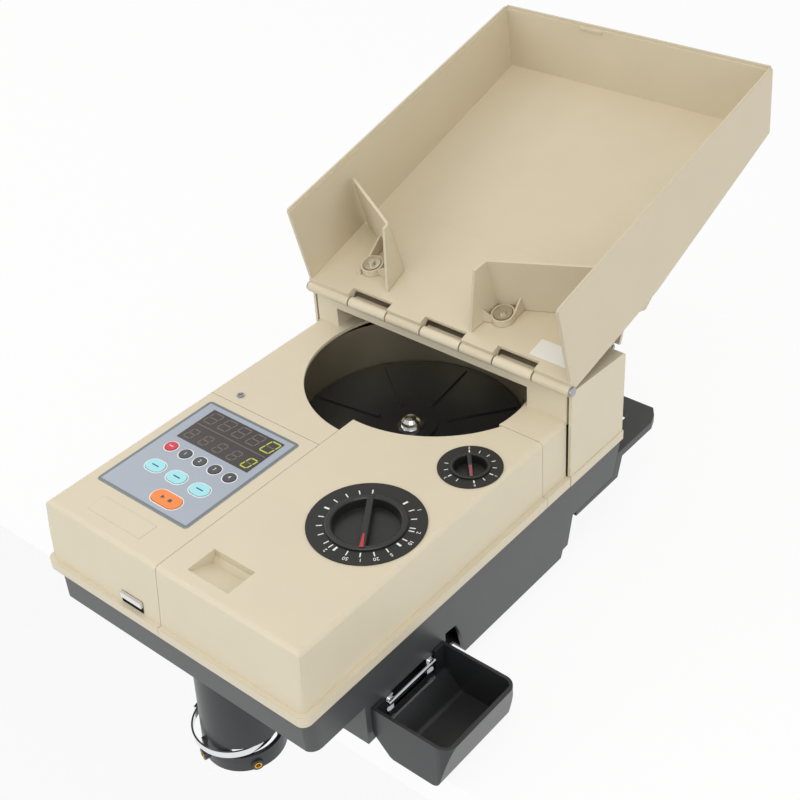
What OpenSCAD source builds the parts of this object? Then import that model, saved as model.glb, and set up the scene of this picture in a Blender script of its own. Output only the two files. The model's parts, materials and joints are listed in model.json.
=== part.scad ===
// Coin counting machine with a fold-over hopper tray, a bag spout and a side reject box.
// Lengths are in millimetres. Machine coordinates: x from the middle of the width,
// y backwards from the covers' front top edge, z up from the underside of the deep base.
// seat() moves them to the row frame: the origin lies on the table, midway between the feet.

/* [Covers] */
// Width across the top of the covers
cover_w = 216.8; // [212:0.2:222]
// Length from the covers' front top edge to the tower's face
cover_len = 252.5; // [246:0.5:260]
// Height of the covers' top above the underside of the base
cover_h = 111; // [108:0.5:116]
// Wall of the moulded covers, the tower and the tray
wall = 2.4; // [2:0.1:2.8]
// Lean of the covers' front wall in degrees
front_lean = 6; // [3:0.5:7]
// Radius along the covers' top edges
edge_r = 3.2; // [2.8:0.2:4]
// Radius of the covers' upright front corners
corner_r = 5; // [4:0.5:8]
// Height of the ledge's upper face
ledge_h = 67; // [65:0.5:69]
// Thickness of the ledge
ledge_t = 7.5; // [6.5:0.5:8.5]
// How far the ledge stands out in front of the wall
ledge_out = 3.6; // [3.2:0.1:4]
// Width of the line between two covers
seam = 0.3; // [0.3:0.1:0.8]
// Place across the width of the seam between the front cover and the panel cover
seam_x = -7; // [-10:0.5:-4]
// Distance from the front of the seam behind the panel cover
seam_left_y = 141.5; // [139:0.5:146]
// Distance from the front of the seam behind the front cover
seam_right_y = 225.6; // [222:0.5:230]

/* [Bowl] */
// Centre of the bowl across the width
bowl_x = -5; // [-6:0.5:-4]
// Distance of the bowl's centre in front of the tower's face
bowl_back = 23.5; // [22.5:0.5:24.5]
// Inner radius of the steel wall
bowl_r = 80.8; // [79:0.2:81]
// Thickness of the steel wall
bowl_sheet = 0.8; // [0.6:0.1:1]
// Height of the feed disc's upper face
disc_top_h = 72; // [71:0.5:74]
// Thickness of the feed disc
disc_t = 3; // [2.5:0.5:3.5]
// Radius of the opening in the rear cover
rear_arc_r = 79.5; // [78:0.5:80.5]
// Radius of the front cover's arc over the bowl
front_arc_r = 89.9; // [88:0.5:92]
// Radius of the driven shaft
shaft_r = 6; // [5:0.5:7]

/* [Tower and tray] */
// Depth of the tower from front to back
tower_d = 63.5; // [62:0.5:66]
// Height of the tower's front edge
tower_h = 136; // [134:0.5:138]
// Fall of the tower's top towards the back
tower_fall = 4; // [2:0.5:5]
// Height of the hinge axis above the tower's front edge
hinge_rise = 2; // [1.5:0.1:2.5]
// Radius of the hinge barrels
barrel_r = 4; // [3.6:0.1:4.2]
// Radius of the hinge pin
pin_r = 1.6; // [1.4:0.1:1.8]
// Running clearance round pins and shafts
running = 0.05; // [0.03:0.01:0.08]
// Clearance between parts that move past each other
gap = 0.3; // [0.25:0.05:0.4]
// Tilt of the open tray in degrees
tray_tilt = 13.75; // [12:0.25:15]
// Length of the tray's floor
tray_floor = 255.5; // [250:0.5:262]
// Lean of the tray's far wall, measured along the rim
tray_lean = 5.5; // [4:0.5:6]
// Height of the tray's floor above the hinge axis, at the hinge edge
floor_rise = 7.1; // [6.5:0.1:8]
// How much shallower the tray is at its far edge
floor_gain = 14.4; // [12:0.2:17]
// How far the tray's sides stay inside the ledge's edge
tray_play = 0.4; // [0.3:0.1:0.7]
// Height of the two coin guides above the tray's floor
guide_h = 45; // [40:0.5:47]
// Thickness of the guides
guide_t = 2.2; // [1.8:0.1:2.6]
// Thickness of the tray's prop
prop_t = 2.5; // [2:0.1:3]

/* [Base] */
// How much wider the base is than the top of the covers
base_over = 5.2; // [3.6:0.2:6]
// Wall of the base
base_wall = 3; // [2.5:0.1:3.5]
// Height of the shallow part's underside above the deep part's
skirt_h = 32.5; // [31:0.5:34]
// Distance from the front of the deep part's front wall
deep_y = 42; // [41:0.5:44]
// Distance from the front of the deep part's rear edge at the underside
deep_back_y = 244.5; // [242:0.5:246]
// Height of the rubber feet
foot_h = 10; // [9.5:0.5:12]
// Radius of the rubber feet
foot_r = 9; // [7:0.5:10]
// Distance of the rubber feet from the deep part's front and rear walls
foot_in = 24; // [23:0.5:30]
// Distance from the front of the rear deck's back edge
deck_back_y = 373; // [368:1:380]
// Thickness of the rear deck
deck_t = 6; // [5:0.5:7]

/* [Keypad] */
// Width of the panel
panel_w = 82.3; // [80:0.1:84]
// Length of the panel
panel_l = 100.4; // [99:0.1:102]
// Distance of the panel's centre from the covers' left edge
panel_side = 50.5; // [49:0.1:52]
// Centre of the panel from the front
panel_y = 83.6; // [82:0.1:85]
// Thickness of the panel
panel_t = 1; // [0.8:0.1:1.2]
// Radius of the panel's corners
panel_r = 2.5; // [1.5:0.5:5]
// Radius of the round keys
key_r = 4.3; // [4:0.1:4.6]
// Travel of a key
key_travel = 0.4; // [0.3:0.1:0.6]
// Height of a key above the panel
key_proud = 0.6; // [0.6:0.1:1.2]

/* [Dials] */
// Radius of the diameter dial
large_r = 36.8; // [35:0.1:38]
// Radius of the diameter knob
large_knob_r = 25.3; // [24:0.1:26]
// Radius of the thickness dial
small_r = 20.8; // [20:0.1:21.5]
// Radius of the thickness knob
small_knob_r = 12.8; // [12:0.1:13.5]
// Thickness of the dial discs
dial_t = 0.8; // [0.6:0.1:1.2]
// Height of the knobs' rims above the dial discs
knob_h = 1; // [0.8:0.1:2]
// Width of the large knob's rim
large_rim = 3.8; // [3:0.1:4.5]
// Width of the small knob's rim
small_rim = 1.9; // [1.6:0.1:2.4]
// Depth of the knobs' dishes
dish = 6.4; // [5:0.1:7]
// Thickness of the dishes' floors
dish_floor = 1.5; // [1:0.1:2]
// Radius of the knobs' stems
stem_r = 3; // [2.6:0.1:3.4]

/* [Spout and reject box] */
// Centre of the spout across the width
spout_x = 14.2; // [13:0.2:16]
// Centre of the spout from the front
spout_y = 26; // [25:0.5:27]
// Radius of the spout's foot
spout_r = 27.5; // [26.5:0.1:28.5]
// Radius of the spout's top
spout_top_r = 24.5; // [24:0.1:25.5]
// Wall of the spout
spout_wall = 3; // [2.6:0.1:3.2]
// Depth of the spout's foot below the base's underside
spout_drop = 48; // [45:0.5:52]
// Radius of the threaded inserts' bores
insert_r = 1.5; // [1.25:0.05:1.7]
// Length of the threaded inserts
insert_l = 4.5; // [4:0.1:5]
// Width of the reject box from the machine's side outwards
box_w = 58; // [54:0.5:62]
// Length of the reject box along the machine
box_l = 68.5; // [66:0.5:70]
// Height of the reject box's rim above the base's underside
box_rim_h = 28; // [26:0.5:30]
// Depth of the reject box
box_deep = 36; // [33:0.5:37]
// Wall of the reject box
box_wall = 2.2; // [1.8:0.1:2.6]
// Radius of the reject box's outer corners
box_r = 9; // [6:0.5:12]

/* [Hidden] */
$fn = 96;

cream = "#d8cbb0";
dark_grey = "#4a4b4c";
black = "#26272a";
steel = "#c4c6c8";

base_mid_y = (deep_y + deep_back_y) / 2;
half_top = cover_w / 2;
base_w = cover_w + base_over;
side_draft = 0.5;
ledge_z = ledge_h - ledge_t;
half_foot = half_top + side_draft;
half_ledge = half_foot + ledge_out;
front_foot_y = -(cover_h - ledge_z) * tan(front_lean);
ledge_front_y = -(cover_h - ledge_h) * tan(front_lean) - ledge_out + 0.5;
inner_top = cover_h - wall;
far = 400;

tower_y = cover_len;
bowl_y = tower_y - bowl_back;
tower_back = tower_y + tower_d;
tower_half = half_ledge - 0.6;
panel_skin = 2;
hinge_y = tower_y - 1;
hinge_z = tower_h + hinge_rise;
knuckle_x = [-73.6, -40.1, -8.6, 24.4, 52.6, 83.3];
column_left = -half_top + 19;
column_right = half_top - 31.4;
lintel_h = 7;

tray_half = half_ledge - tray_play;
tray_in = tray_half - wall;
rim_n = hinge_z - ledge_h - gap;
floor_n0 = floor_rise;
floor_n1 = floor_rise + floor_gain;
floor_slope = atan((floor_n1 - floor_n0) / tray_floor);
under_n = -1.5;
under_flat = 104;
prop_y = tower_back + 2.6;
prop_z = tower_h - tower_fall - 2;
prop_pin_r = 1.5;
prop_barrel_r = 2.5;
prop_lean = 18;
prop_half = tower_half - 6.9;
prop_ear_x = [-prop_half + 5, -2.5, prop_half - 10];
foot_t = 2.4;
collar_h = 5;
washer_h = 3;
web_rise = 8;
left_cap = [-tray_in + 36.9, 28];
right_cap = [tray_in - 68.4, 28.5];
left_bend = left_cap + [21, 8];
right_bend = right_cap + [-8.9, 6.5];
stop_pin = left_cap + [-6.6, -8.3];
label_x = tray_in - 2.8;

plate_top = disc_top_h - disc_t - 2.5;
plate_t = 2.5;
plate_z = plate_top - plate_t;
plate_half = base_w / 2 - 8;
plate_back_y = tower_back - 8;
post_x = plate_half - 5;
base_rear_y = tower_back - 1.2;
base_step_y = deep_back_y + 13.7;
deck_top = 47.6;
foot_x = base_w / 2 - 19;
pulley_z = plate_z - 26;
pulley_h = 12;
disc_pulley_r = 36;
motor_x = -base_w / 2 + 49;
motor_y = 150;
motor_r = 28;
motor_h = pulley_z - base_wall - 7;
motor_pulley_r = 12;
track_x = half_top - 15.4;
roller_r = 8;
roller_front_y = 76;
roller_back_y = 212;
roller_z = plate_top + 16;
belt_t = 1.5;
board_x = base_w / 2 - 99;
board_y = 140;
board_z = 9;
board_size = [78, 92, 1.6];
coil_x = -base_w / 2 + 13;
coil_y = 60;
coil_size = [52, 46, 37];

knob_z = cover_h + dial_t + gap;
dish_z = knob_z + knob_h - dish;
cup_z = dish_z - dish_floor - gap;
sleeve_z = inner_top - 10;
cam_t = 3;
small_cam_z = sleeve_z - cam_t - 1.6;
gate_top = small_cam_z - 2;

panel_x = -half_top + panel_side;
panel_z = cover_h - 0.6;
panel_top = panel_z + panel_t;
board_top = cover_h - 9;
window_x0 = panel_x - 31.5;
window_x1 = panel_x + 33.4;
window_y0 = panel_y + 9.7;
window_y1 = panel_y + 44.3;
emboss_spot = [-half_top + 27.2, 10.9];
emboss_size = [48.2, 14.1];
large_x = half_top - 40.5;
large_y = 101.8;
large_turn = 34;
small_turn = 41;
small_x = half_top - 22.6;
small_y = 179.9;
latch_x0 = -41;
latch_x1 = -22;
latch_z0 = ledge_h + 1;
latch_z1 = ledge_h + 9.6;
latch_bar = 4;
latch_deep = 12;
box_y0 = 46.5;
inlet_x = -half_top + 6.4;
inlet_w = 27.4;
inlet_h = 20;
inlet_deep = 20;
inlet_z = ledge_h + 4;
switch_x = -half_top + 44.4;
switch_w = 13;
switch_h = 19;
gate_y = small_y + 49;
ring_shift = 5.3;
ring_turn = 43.4;
ring_z = -spout_drop + 14;
ring_h = 5;
ring_r = 27.1;
spout_foot_h = 6.5;
// Bearing of each insert round the spout, and how far its face stands off the spout's foot
insert_spots = [[-108, 3.4], [-28, 1.6]];
insert_z = -spout_drop + 4.3;

// Places the machine in the row frame
module seat() {
    translate([0, -base_mid_y, foot_h]) children();
}

// Places a piece that is drawn in the tray's own frame: y along the floor, z square to the rim
module tray_seat() {
    seat() translate([0, hinge_y, hinge_z]) rotate([tray_tilt, 0, 0]) children();
}

// Unit vector
function unit(v) = v / norm(v);

// Points of the round that replaces corner b of the outline a, b, c
function corner_arc(a, b, c, r, n) =
    let (u = unit(a - b), v = unit(c - b), half = acos(u * v) / 2)
    let (mid = b + unit(u + v) * r / sin(half), s = b + u * r / tan(half) - mid)
    let (e = b + v * r / tan(half) - mid, a0 = atan2(s[1], s[0]), a1 = atan2(e[1], e[0]))
    let (sweep = (a1 - a0 + 540) % 360 - 180)
    [for (i = [0:n]) mid + r * [cos(a0 + sweep * i / n), sin(a0 + sweep * i / n)]];

// Outline with a radius at each corner, given in the same order as its points
function rounded(pts, radii, n = 6) =
    let (m = len(pts))
    [for (i = [0:m - 1]) each radii[i] > 0 ?
        corner_arc(pts[(i + m - 1) % m], pts[i], pts[(i + 1) % m], radii[i], n) : [pts[i]]];

// Outline of a belt round two pulleys, its arcs outside both circles
function belt_line(c1, r1, c2, r2, n = 24) =
    let (d = c2 - c1, along = atan2(d[1], d[0]), open = acos((r1 - r2) / norm(d)))
    let (k = 1 / cos(90 / n))
    concat(
        [for (i = [0:n]) let (a = along + open + i * (360 - 2 * open) / n) c1 + r1 * k * [cos(a), sin(a)]],
        [for (i = [0:n]) let (a = along - open + i * 2 * open / n) c2 + r2 * k * [cos(a), sin(a)]]);

// Extrudes an outline given as (y, z) across the width
module across(x0, x1) {
    translate([x0, 0, 0]) rotate([90, 0, 90]) linear_extrude(x1 - x0) children();
}

// Extrudes an outline given as (x, z) along the depth
module along(y0, y1) {
    translate([0, y1, 0]) rotate([90, 0, 0]) linear_extrude(y1 - y0) children();
}

// Box from its lowest to its highest corner
module span(a, b) {
    translate(a) cube(b - a);
}

// Solid outline of the covers, drawn in by an inset all round
module cover_block(inset, z0, y1) {
    top = cover_h - inset;
    foot = -(cover_h - z0) * tan(front_lean) + inset;
    lip = -inset * tan(front_lean) + inset;
    r = max(edge_r - inset, 0.6);
    intersection() {
        across(-far, far) polygon(rounded([[foot, z0], [lip, top], [y1, top], [y1, z0]], [0, r, 0, 0]));
        along(-far, far) polygon(rounded(
            [[-half_foot + inset, z0], [-half_top + inset, top], [half_top - inset, top], [half_foot - inset, z0]],
            [0, r, r, 0]));
        translate([0, 0, z0 - 1]) linear_extrude(cover_h + 10) polygon(rounded(
            [[-half_foot + inset, foot], [half_foot - inset, foot], [half_foot - inset, y1 + 1],
            [-half_foot + inset, y1 + 1]], [corner_r, corner_r, 0, 0]));
    }
}

// All covers in one: thin skin and the ledge round its foot
module cover_skin() {
    difference() {
        union() {
            cover_block(0, ledge_z, cover_len - gap);
            translate([0, 0, ledge_z]) linear_extrude(ledge_t) polygon(rounded(
                [[-half_ledge, ledge_front_y], [half_ledge, ledge_front_y],
                [half_ledge, cover_len - gap], [-half_ledge, cover_len - gap]],
                [corner_r + 1, corner_r + 1, 0, 0]));
        }
        cover_block(wall, ledge_z - 1, cover_len + 1);
    }
}

// Opening in the rear cover over the bowl
module rear_arc(z0, z1) {
    translate([bowl_x + 1, bowl_y + 11.3, z0]) cylinder(r = rear_arc_r, h = z1 - z0, $fn = 180);
}

module front_cover() {
    color(cream) seat() difference() {
        union() {
            intersection() {
                cover_skin();
                span([seam_x + seam / 2, -40, 0], [far, seam_right_y - seam / 2, far]);
            }
            recess_box(wall);
            dial_boss(large_x, large_y, large_knob_r - large_rim);
            dial_boss(small_x, small_y, small_knob_r - small_rim);
        }
        recess_box(0);
        translate([bowl_x + 0.7, bowl_y + 35.4, cover_h - 20]) cylinder(r = front_arc_r, h = 40, $fn = 180);
        dial_bore(large_x, large_y, large_knob_r - large_rim);
        dial_bore(small_x, small_y, small_knob_r - small_rim);
    }
}

// Cup under the cover that a knob's dish turns in, with the sleeve that guides its stem
module dial_boss(x, y, r) {
    translate([x, y, cup_z - wall]) cylinder(r = r + gap + wall, h = cover_h - cup_z + wall - 0.5, $fn = 120);
    translate([x, y, sleeve_z]) cylinder(r = stem_r + 4, h = cup_z - sleeve_z - 0.5);
}

module dial_bore(x, y, r) {
    translate([x, y, cup_z]) cylinder(r = r + gap, h = 20, $fn = 120);
    translate([x, y, sleeve_z - 2]) cylinder(r = stem_r + running, h = 24, $fn = 48);
}

// Finger recess with a floor that slopes down to the back
module recess_box(w) {
    x0 = seam_x + 17;
    x1 = x0 + 33.6;
    y0 = 10.1;
    y1 = 31.8;
    shallow = 2;
    deep = 9;
    up = w > 0 ? 0 : 5;
    across(x0 - w, x1 + w) polygon([[y0 - w, cover_h + up], [y0 - w, cover_h - shallow - w],
        [y1 - 3 + w, cover_h - deep - w], [y1 + w, cover_h - deep + 4 - w], [y1 + w, cover_h + up]]);
}

module panel_cover() {
    color(cream) seat() difference() {
        union() {
            intersection() {
                cover_skin();
                span([-far, -40, 0], [seam_x - seam / 2, seam_left_y - seam / 2, far]);
            }
            translate([emboss_spot[0], emboss_spot[1], cover_h - 0.2]) cube([emboss_size[0], emboss_size[1], 0.35]);
            latch_housing();
        }
        translate([0, 0, panel_z]) linear_extrude(5) panel_outline(gap / 2);
        panel_frame(-3.5, inner_top - 10, cover_h + 5);
        span([latch_x0, front_foot_y - 8, latch_z0], [latch_x1, front_foot_y + wall + 4, latch_z1]);
    }
}

// Rounded outline of the panel, grown by a margin
module panel_outline(margin) {
    a = panel_w / 2 + margin;
    b = panel_l / 2 + margin;
    translate([panel_x, panel_y]) polygon(rounded([[-a, -b], [a, -b], [a, b], [-a, b]], [1, 1, 1, 1] * panel_r));
}

// Rectangular block below the panel
module panel_frame(margin, z0, z1) {
    a = panel_w / 2 + margin;
    b = panel_l / 2 + margin;
    span([panel_x - a, panel_y - b, z0], [panel_x + a, panel_y + b, z1]);
}

// Pocket behind the front wall that guides the latch
module latch_housing() {
    y0 = front_foot_y + wall;
    y1 = y0 + latch_deep + 2;
    difference() {
        span([latch_x0 - 2, y0, latch_z0 - 1], [latch_x1 + 2, y1, latch_z1 + 2]);
        span([latch_x0, y0 - 9, latch_z0], [latch_x1, y1 - 1.6, latch_z1]);
    }
}

module front_latch() {
    y0 = front_foot_y - 0.4;
    color(steel) seat() {
        span([latch_x0 + gap, y0, latch_z1 - latch_bar - gap], [latch_x1 - gap, y0 + latch_deep, latch_z1 - gap]);
        span([latch_x0 + 3, y0 + 6, latch_z0 + gap], [latch_x1 - 3, y0 + latch_deep - 1, latch_z1 - latch_bar]);
    }
}

// Rear cover: its top runs on under the tower and carries the two column faces and the lintel
module rear_cover() {
    color(cream) seat() difference() {
        union() {
            intersection() {
                cover_skin();
                union() {
                    span([-far, seam_left_y + seam / 2, 0], [seam_x - seam / 2, far, far]);
                    span([seam_x - 1, seam_right_y + seam / 2, 0], [far, far, far]);
                }
            }
            span([-half_top + 0.6, cover_len - 1, inner_top], [half_top - 0.6, tower_back - 5, cover_h]);
            column(-half_top + gap, column_left);
            column(column_right, half_top - gap);
            span([-half_top + gap, tower_y, tower_h - wall - gap - lintel_h],
                [half_top - gap, tower_y + wall, tower_h - wall - gap]);
        }
        rear_arc(cover_h - 20, cover_h + 5);
        hinge_clear();
    }
}

// Column beside the bowl: a front face and the wall that faces the bowl
module column(x0, x1) {
    inner = x0 < 0 ? x1 - wall : x0;
    top = tower_h - wall - gap;
    span([x0, tower_y, inner_top], [x1, tower_y + wall, top]);
    across(inner, inner + wall) polygon([[tower_y, inner_top], [tower_back - 6, inner_top],
        [tower_back - 6, top - tower_fall], [tower_y, top]]);
}

// Space that the tray's barrels need along the tower's front edge
module hinge_clear() {
    across(-far, far) translate([hinge_y, hinge_z]) circle(r = barrel_r + 0.5);
}

// Skin of the tower: two sides, back and sloping top, with the fixed hinge barrels
module tower_shell() {
    outer = [[tower_y, ledge_z], [tower_back, ledge_z], [tower_back, tower_h - tower_fall], [tower_y, tower_h]];
    color(cream) seat() difference() {
        union() {
            difference() {
                across(-tower_half, tower_half) polygon(rounded(outer, [0, 0, 3, 0]));
                across(-tower_half + panel_skin, tower_half - panel_skin) polygon([[tower_y - 9, ledge_z - 9],
                    [tower_back - wall, ledge_z - 9], [tower_back - wall, tower_h - tower_fall - wall],
                    [tower_y - 9, tower_h - wall + 0.5]]);
                hinge_clear();
            }
            difference() {
                span([-half_ledge - 0.3, tower_y, ledge_z], [half_ledge + 0.3, tower_back + 0.4, ledge_h]);
                span([-tower_half + panel_skin, tower_y - 1, 0], [tower_half - panel_skin, tower_back - wall, far]);
            }
            for (i = [0, 2, 4]) fixed_knuckle(knuckle_x[i] + gap, knuckle_x[i + 1] - gap);
            prop_ears();
        }
        across(-far, far) translate([hinge_y, hinge_z]) circle(r = pin_r + running, $fn = 48);
        across(-far, far) translate([prop_y, prop_z]) circle(r = prop_pin_r + running, $fn = 48);
        inlet_cut();
    }
}

// Hinge barrel on the tower with its web down to the top
module fixed_knuckle(x0, x1) {
    across(x0, x1) translate([hinge_y, hinge_z]) circle(r = barrel_r);
    across(x0, x1) polygon([[hinge_y, hinge_z - barrel_r + 0.2], [hinge_y + 1.2, hinge_z - 4.4],
        [hinge_y + 8, hinge_z - 4], [hinge_y + 8, hinge_z - 3], [hinge_y + barrel_r, hinge_z]]);
}

// Ears on the tower's back that carry the prop's pin
module prop_ears() {
    for (x = prop_ear_x) across(x, x + 5) union() {
        translate([prop_y, prop_z]) circle(r = prop_barrel_r);
        polygon([[tower_back - 1, prop_z - 4], [prop_y, prop_z - prop_barrel_r],
            [prop_y, prop_z + prop_barrel_r], [tower_back - 1, prop_z + 2]]);
    }
}

// Openings in the tower's back for the inlet and the switch
module inlet_cut() {
    span([inlet_x, tower_back - 6, inlet_z], [inlet_x + inlet_w, tower_back + 6, inlet_z + inlet_h]);
    span([switch_x, tower_back - 6, inlet_z], [switch_x + switch_w, tower_back + 6, inlet_z + switch_h]);
}

module hinge_pin() {
    color(steel) seat() {
        across(-tray_half - 0.4, tray_half + 0.4) translate([hinge_y, hinge_z]) circle(r = pin_r, $fn = 48);
        for (s = [-1, 1]) translate([s * (tray_half + 1), hinge_y, hinge_z])
            rotate([0, 90, 0]) cylinder(r = 3.4, h = 1.2, center = true);
    }
}

// Underside and inside of the base as side outlines
function base_side(w) = [[-2.6 + w, skirt_h + w], [deep_y + w, skirt_h + w], [deep_y + w, w],
    [deep_back_y - w, w], [deep_back_y + 2.2 - w, 6 + w], [deep_back_y + 8 - w, 6.6 + w],
    [base_step_y - w, 29.7 + w], [base_rear_y - 6.8 - w, 29.7 + w], [base_rear_y - w, 54 + w]];

module base_solid(w, top) {
    s = base_side(w);
    half = base_w / 2 - w;
    last = s[len(s) - 1];
    intersection() {
        across(-far, far) polygon(concat(s, [[last[0], top], [-3 + w, top]]));
        translate([0, 0, -1]) linear_extrude(top + 2) polygon(rounded(
            [[-half, -3 + w], [half, -3 + w], [half, far], [-half, far]], [8 - w, 8 - w, 0, 0]));
    }
}

module base_housing() {
    notch = spout_r + 2.5;
    color(dark_grey) seat() difference() {
        union() {
            difference() {
                base_solid(0, ledge_z);
                base_solid(base_wall, ledge_z + 5);
            }
            intersection() {
                base_solid(0, ledge_z);
                translate([spout_x, spout_y, 0]) cylinder(r = notch + base_wall, h = skirt_h + base_wall);
            }
            for (p = post_spots()) translate([p[0], p[1], p[2]]) cylinder(r = 5, h = plate_z - p[2], $fn = 48);
            for (x = [6, board_size[0] - 6], y = [6, board_size[1] - 6])
                translate([board_x + x, board_y + y, 1]) cylinder(r = 3, h = board_z - 1, $fn = 32);
        }
        translate([spout_x, spout_y, -1]) cylinder(r = notch, h = skirt_h + 1);
        translate([spout_x, spout_y, skirt_h - 1]) cylinder(r = spout_top_r - spout_wall, h = 20);
        span([base_w / 2 - 10, box_y0 + 14, 4], [base_w / 2 + 5, box_y0 + 54, 26]);
        across(base_w / 2 - 10, base_w / 2 + 5) polygon([[118, -5], [118, 31], [128.5, 30], [131.9, 22], [138, -5]]);
    }
}

// Feet of the posts that carry the main plate
function post_spots() = [for (x = [-post_x, post_x])
    each [[x, 14, skirt_h + 1], [x, 156, 1], [x, plate_back_y - 23, 31]]];

module rear_deck() {
    half = base_w / 2;
    slot = half - 18;
    lip = base_rear_y - 0.3;
    color(dark_grey) seat() difference() {
        intersection() {
            across(-half, half) polygon([[deep_back_y + 18, 25.8], [lip - 0.2, 25.6], [lip + 4.9, deck_top - deck_t],
                [deck_back_y, deck_top - deck_t], [deck_back_y, deck_top], [lip - 1.2, deck_top],
                [lip - 6.2, 29.4], [deep_back_y + 18, 29.4]]);
            linear_extrude(deck_top + 1) polygon([[-half, deep_back_y], [half, deep_back_y], [half, deck_back_y - 15],
                [half - 3, deck_back_y - 7], [half - 8, deck_back_y], [-half + 8, deck_back_y],
                [-half + 3, deck_back_y - 7], [-half, deck_back_y - 15]]);
        }
        translate([0, 0, deck_top - deck_t - 5]) linear_extrude(20) polygon(rounded(
            [[-slot, deck_back_y - 33], [slot, deck_back_y - 33], [slot, deck_back_y - 15], [-slot, deck_back_y - 15]],
            [5, 5, 5, 5]));
    }
}

module rubber_feet() {
    color(black) seat() for (x = [-foot_x, foot_x], y = [deep_y + foot_in, deep_back_y - foot_in])
        translate([x, y, -foot_h]) cylinder(r = foot_r, h = foot_h);
}

module cover_screw() {
    color(steel) seat() translate([-half_top + 21.4, seam_left_y + 8.5, cover_h]) difference() {
        cylinder(r = 2.6, h = 1);
        translate([-0.4, -2, 0.5]) cube([0.8, 4, 1]);
        translate([-2, -0.4, 0.5]) cube([4, 0.8, 1]);
    }
}

// Centres of the keys, and the half width and half height of the long ones
panel_mid = [panel_x, panel_y];
red_spot = panel_mid + [-25.9, 0];
dark_spots = [for (d = [[-12.3, -0.2], [1, -0.2], [14.6, -0.3], [28.2, -0.5]]) panel_mid + d];
cyan_spots = [for (x = [-19.2, 0.5, 21.5]) panel_mid + [x, -19.8]];
start_spot = panel_mid + [11.4, -38.3];
oval = [7.2, 5.2];
stadium = [11.6, 5.8];

// Stadium outline from its half width and half height
module key_shape(half, margin) {
    a = half[0] + margin;
    b = half[1] + margin;
    translate([-(a - b), 0]) circle(r = b);
    translate([a - b, 0]) circle(r = b);
    translate([-(a - b), -b]) square([2 * (a - b) + 0.001, 2 * b]);
}

// Key that passes through the panel, with a flange that keeps it in
module key(spot, half) {
    seat() translate([spot[0], spot[1], 0]) {
        translate([0, 0, panel_z - gap - 1]) linear_extrude(panel_t + key_proud + gap + 1) key_shape(half, 0);
        translate([0, 0, panel_z - gap - 1]) linear_extrude(1) key_shape(half, 1);
        translate([0, 0, board_top + key_travel + gap])
            cylinder(r = 2, h = panel_z - gap - 0.9 - board_top - key_travel - gap, $fn = 32);
    }
}

module round_key(spot) {
    seat() translate([spot[0], spot[1], 0]) {
        translate([0, 0, panel_z - gap - 1]) cylinder(r = key_r, h = panel_t + key_proud + gap + 1, $fn = 48);
        translate([0, 0, panel_z - gap - 1]) cylinder(r = key_r + 1, h = 1, $fn = 48);
        translate([0, 0, board_top + key_travel + gap])
            cylinder(r = 2, h = panel_z - gap - 0.9 - board_top - key_travel - gap, $fn = 32);
    }
}

module keypad_overlay() {
    color("#aeb8cc") seat() difference() {
        translate([0, 0, panel_z]) linear_extrude(panel_t) panel_outline(0);
        span([window_x0, window_y0, 0], [window_x1, window_y1, far]);
        for (s = concat([red_spot], dark_spots)) translate([s[0], s[1], 0]) cylinder(r = key_r + gap, h = far);
        for (s = cyan_spots) translate([s[0], s[1], 0]) linear_extrude(far) key_shape(oval, gap);
        translate([start_spot[0], start_spot[1], 0]) linear_extrude(far) key_shape(stadium, gap);
    }
}

module display_window() {
    color("#3a3634") seat() {
        span([window_x0, window_y0, panel_z], [window_x1, window_y1, panel_top + 0.2]);
        span([window_x0 - 1.5, window_y0 - 1.5, panel_z - 1.4], [window_x1 + 1.5, window_y1 + 1.5, panel_z]);
    }
}

module display_modules() {
    mid = (window_y0 + window_y1) / 2;
    color(black) seat() {
        span([window_x0 + 2, mid + 0.4, board_top], [window_x1 - 2, window_y1 - 0.4, panel_z - 1.4]);
        span([window_x0 + 2, window_y0 + 0.4, board_top], [window_x1 - 2, mid - 0.4, panel_z - 1.4]);
    }
}

module keypad_board() {
    color("#2f6b3c") seat() difference() {
        panel_frame(-6, board_top - 1.6, board_top);
        translate([panel_x, panel_y - panel_l / 2 + 9, 0]) cylinder(r = 1.5, h = far, $fn = 32);
    }
}

module dial_plate(x, y, r, hole) {
    color(black) seat() translate([x, y, cover_h]) difference() {
        cylinder(r = r, h = dial_t, $fn = 180);
        translate([0, 0, -1]) cylinder(r = hole + gap, h = 5, $fn = 120);
    }
}

// Knob with a flat rim, a deep dish, a grip bar across it and a stem that ends in a cam
module knob(x, y, r, rim, bar_w, turn, cam_r, cam_z) {
    dish_r = r - rim;
    top = knob_z + knob_h;
    low = dish_z - dish_floor;
    color(black) seat() translate([x, y, 0]) {
        rotate_extrude($fn = 120) polygon([[0, low], [dish_r - 0.2, low], [dish_r - 0.2, knob_z], [r, knob_z],
            [r, top - 0.4], [r - rim * 0.2, top], [dish_r + rim * 0.15, top], [dish_r - 0.3, top - 0.7],
            [dish_r - 1.5, dish_z], [0, dish_z]]);
        rotate(turn) along(-dish_r + 0.8, dish_r - 0.8) polygon([[-bar_w / 2 - 0.4, dish_z - 0.1],
            [-bar_w / 2, top], [bar_w / 2, top], [bar_w / 2 + 0.4, dish_z - 0.1]]);
        rotate(turn) along(-r + rim / 2, r - rim / 2) polygon([[-bar_w / 2, knob_z + 0.5], [-bar_w / 2, top],
            [-bar_w / 2 + 0.4, top + 0.4], [bar_w / 2 - 0.4, top + 0.4], [bar_w / 2, top],
            [bar_w / 2, knob_z + 0.5]]);
        translate([0, 0, cam_z]) cylinder(r = stem_r, h = low - cam_z + 0.5, $fn = 48);
        translate([0, 0, cam_z]) cylinder(r = cam_r, h = cam_t, $fn = 64);
    }
}

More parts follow.
